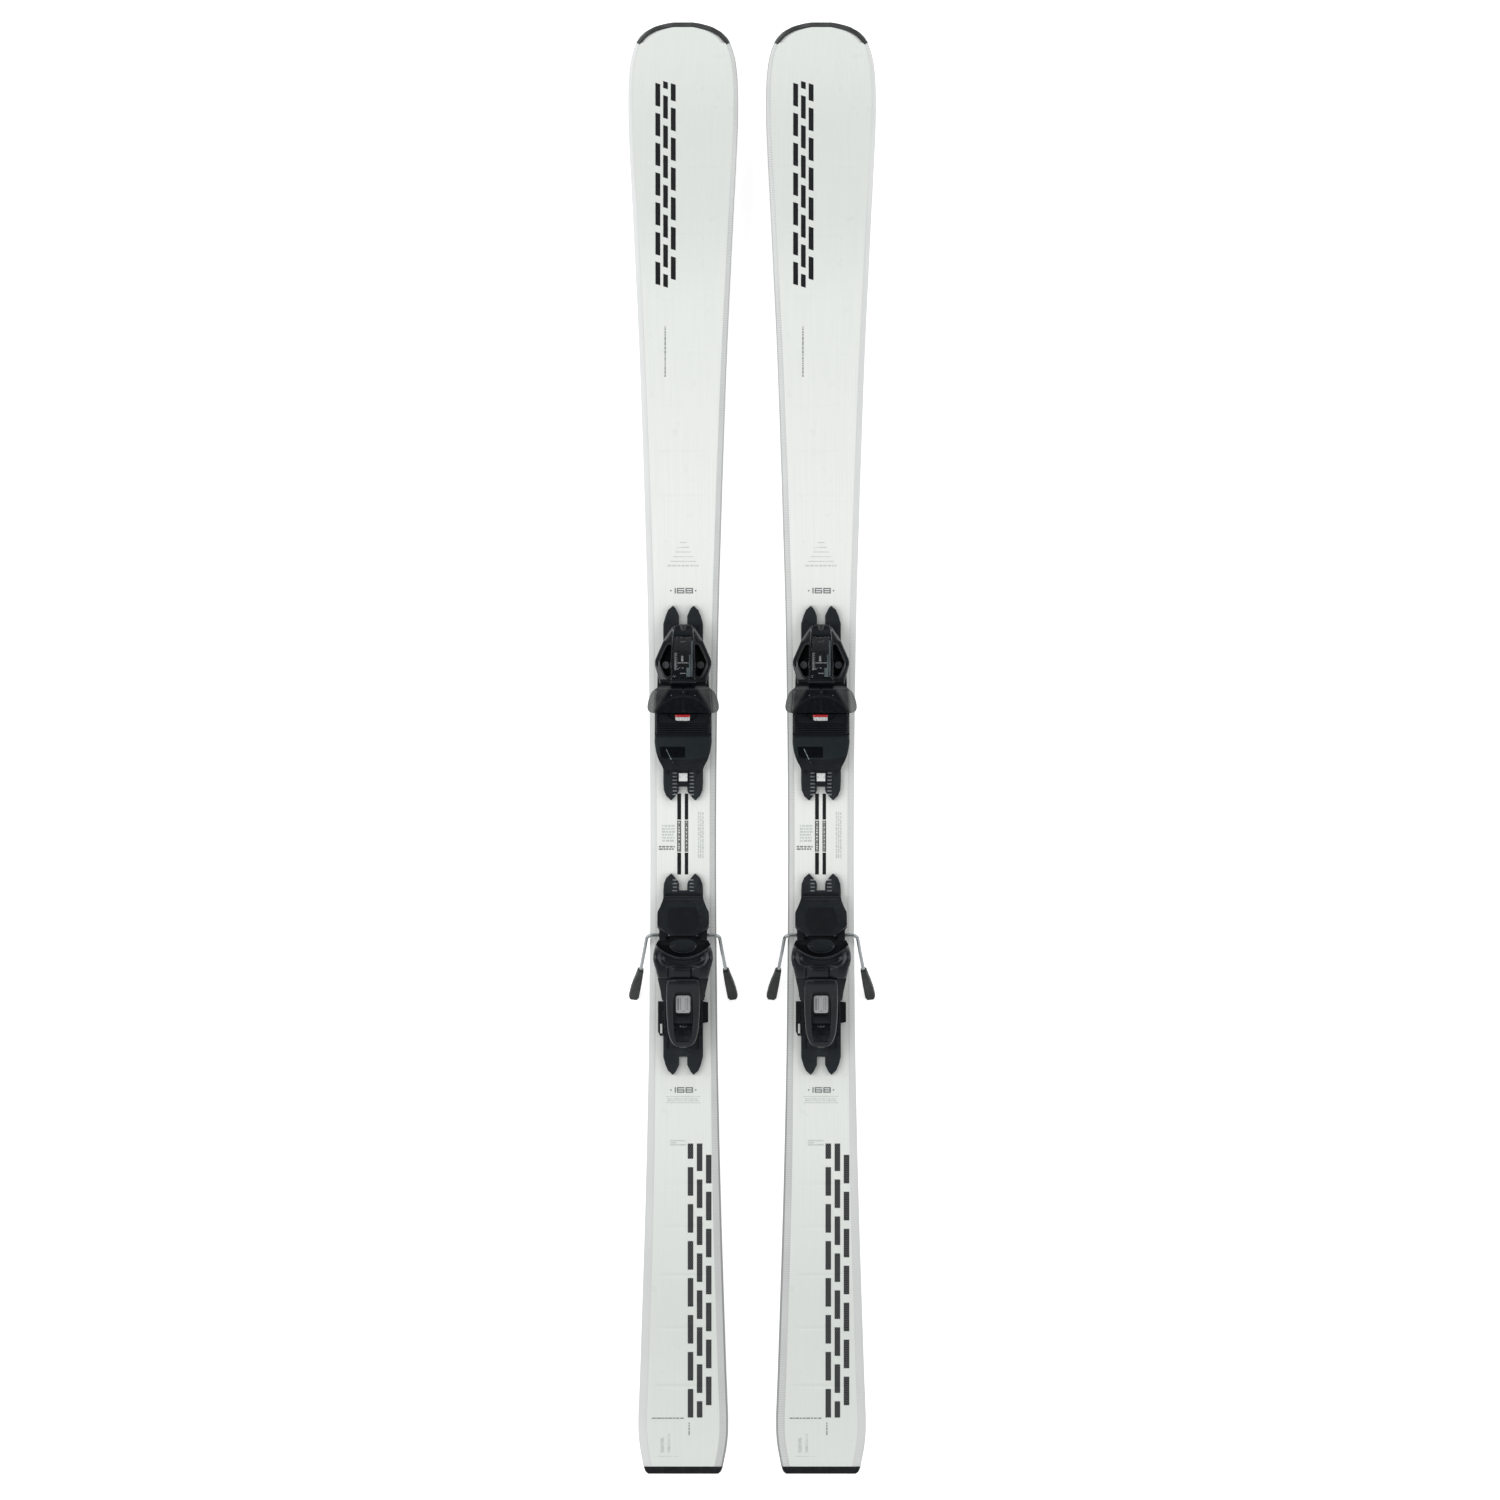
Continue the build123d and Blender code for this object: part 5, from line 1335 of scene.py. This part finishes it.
KEPT = {"ski_core": "wood", "track_screws": "black_screw", "toe_spring": "spring", "heel_spring": "spring", "toe_screw": "black_screw",
        "heel_screw": "zinc", "toe_pivot_pins": "steel", "brake_arms": "wire"}
for side in SIDES:
    for node, mat in KEPT.items():
        o = frame["nodes"][f"{side}_{node}"]
        o.data.materials.clear()
        o.data.materials.append(M[mat])

# ------------------------------------------------------------------ floor, light, camera
floor_mesh = bpy.data.meshes.new("floor")
N = 24
fv = [(-6 + 12 * i / N, -6 + 12 * j / N, -0.0004) for j in range(N + 1) for i in range(N + 1)]
ff = [(j * (N + 1) + i, j * (N + 1) + i + 1, (j + 1) * (N + 1) + i + 1, (j + 1) * (N + 1) + i) for j in range(N) for i in range(N)]
floor_mesh.from_pydata(fv, [], ff)
floor = bpy.data.objects.new("floor", floor_mesh)
bpy.context.scene.collection.objects.link(floor)
fm = Mat("studio_floor")
tone = fm.noise(3.0, 3.0)
fm.link(fm.mix(fm.remap(tone, 0.3, 0.7), (0.93, 0.93, 0.93, 1), (0.96, 0.96, 0.96, 1)), fm.b.inputs["Base Color"])
fm.link(fm.remap(tone, 0.3, 0.7, 0.85, 0.95), fm.b.inputs["Roughness"])
fm.set(Specular_IOR_Level=0.0)
fm.b.inputs["Emission Color"].default_value = (1, 1, 1, 1)
fm.b.inputs["Emission Strength"].default_value = 0.68
floor.data.materials.append(fm.m)

scene = bpy.context.scene
world = bpy.data.worlds.new("studio")
world.use_nodes = True
bg = world.node_tree.nodes["Background"]
bg.inputs["Color"].default_value = (1.0, 1.0, 1.0, 1.0)
# a dark ceiling over the camera and a bright sweep all round
wt = world.node_tree
wc = wt.nodes.new("ShaderNodeTexCoord")
ws = wt.nodes.new("ShaderNodeSeparateXYZ")
wr = wt.nodes.new("ShaderNodeMapRange")
wr.interpolation_type = "SMOOTHSTEP"
wt.links.new(wc.outputs["Generated"], ws.inputs[0])
wt.links.new(ws.outputs[2], wr.inputs["Value"])
for n, v in zip(("From Min", "From Max", "To Min", "To Max"), (0.62, 0.95, 0.85, 0.10)):
    wr.inputs[n].default_value = v
wt.links.new(wr.outputs["Result"], bg.inputs["Strength"])
scene.world = world


def area(name, loc, target, size, size_y, power, colour=(1, 1, 1)):
    d = bpy.data.lights.new(name, "AREA")
    d.shape = "RECTANGLE"
    d.size, d.size_y, d.energy, d.color = size, size_y, power, colour
    o = bpy.data.objects.new(name, d)
    scene.collection.objects.link(o)
    o.location = loc
    o.rotation_mode = "QUATERNION"
    o.rotation_quaternion = (Vector(target) - Vector(loc)).to_track_quat("-Z", "Y")
    return o


area("key_left", (-2.6, 0.1, 2.5), (0, 0, 0), 1.4, 4.4, 66.0)
area("fill_right", (2.8, 0.0, 2.2), (0, 0, 0), 1.2, 4.2, 34.0)
area("front", (0.0, 3.4, 2.0), (0, 0.2, 0), 2.4, 0.8, 10.0)

cam_data = bpy.data.cameras.new("camera")
cam = bpy.data.objects.new("camera", cam_data)
scene.collection.objects.link(cam)
plane = ORIGIN["left"].z + 18.0 * MM
DIST = 40.0
cam.location = (-0.0024, -0.0018, plane + DIST)
cam.rotation_euler = (0, 0, 0)
cam_data.sensor_width = 36.0
cam_data.lens = 36.0 * DIST / 1.7275
cam_data.clip_start, cam_data.clip_end = 0.1, 200.0
cam_data.dof.use_dof = False
scene.camera = cam
scene.view_settings.view_transform = "Standard"
scene.view_settings.look = "None"
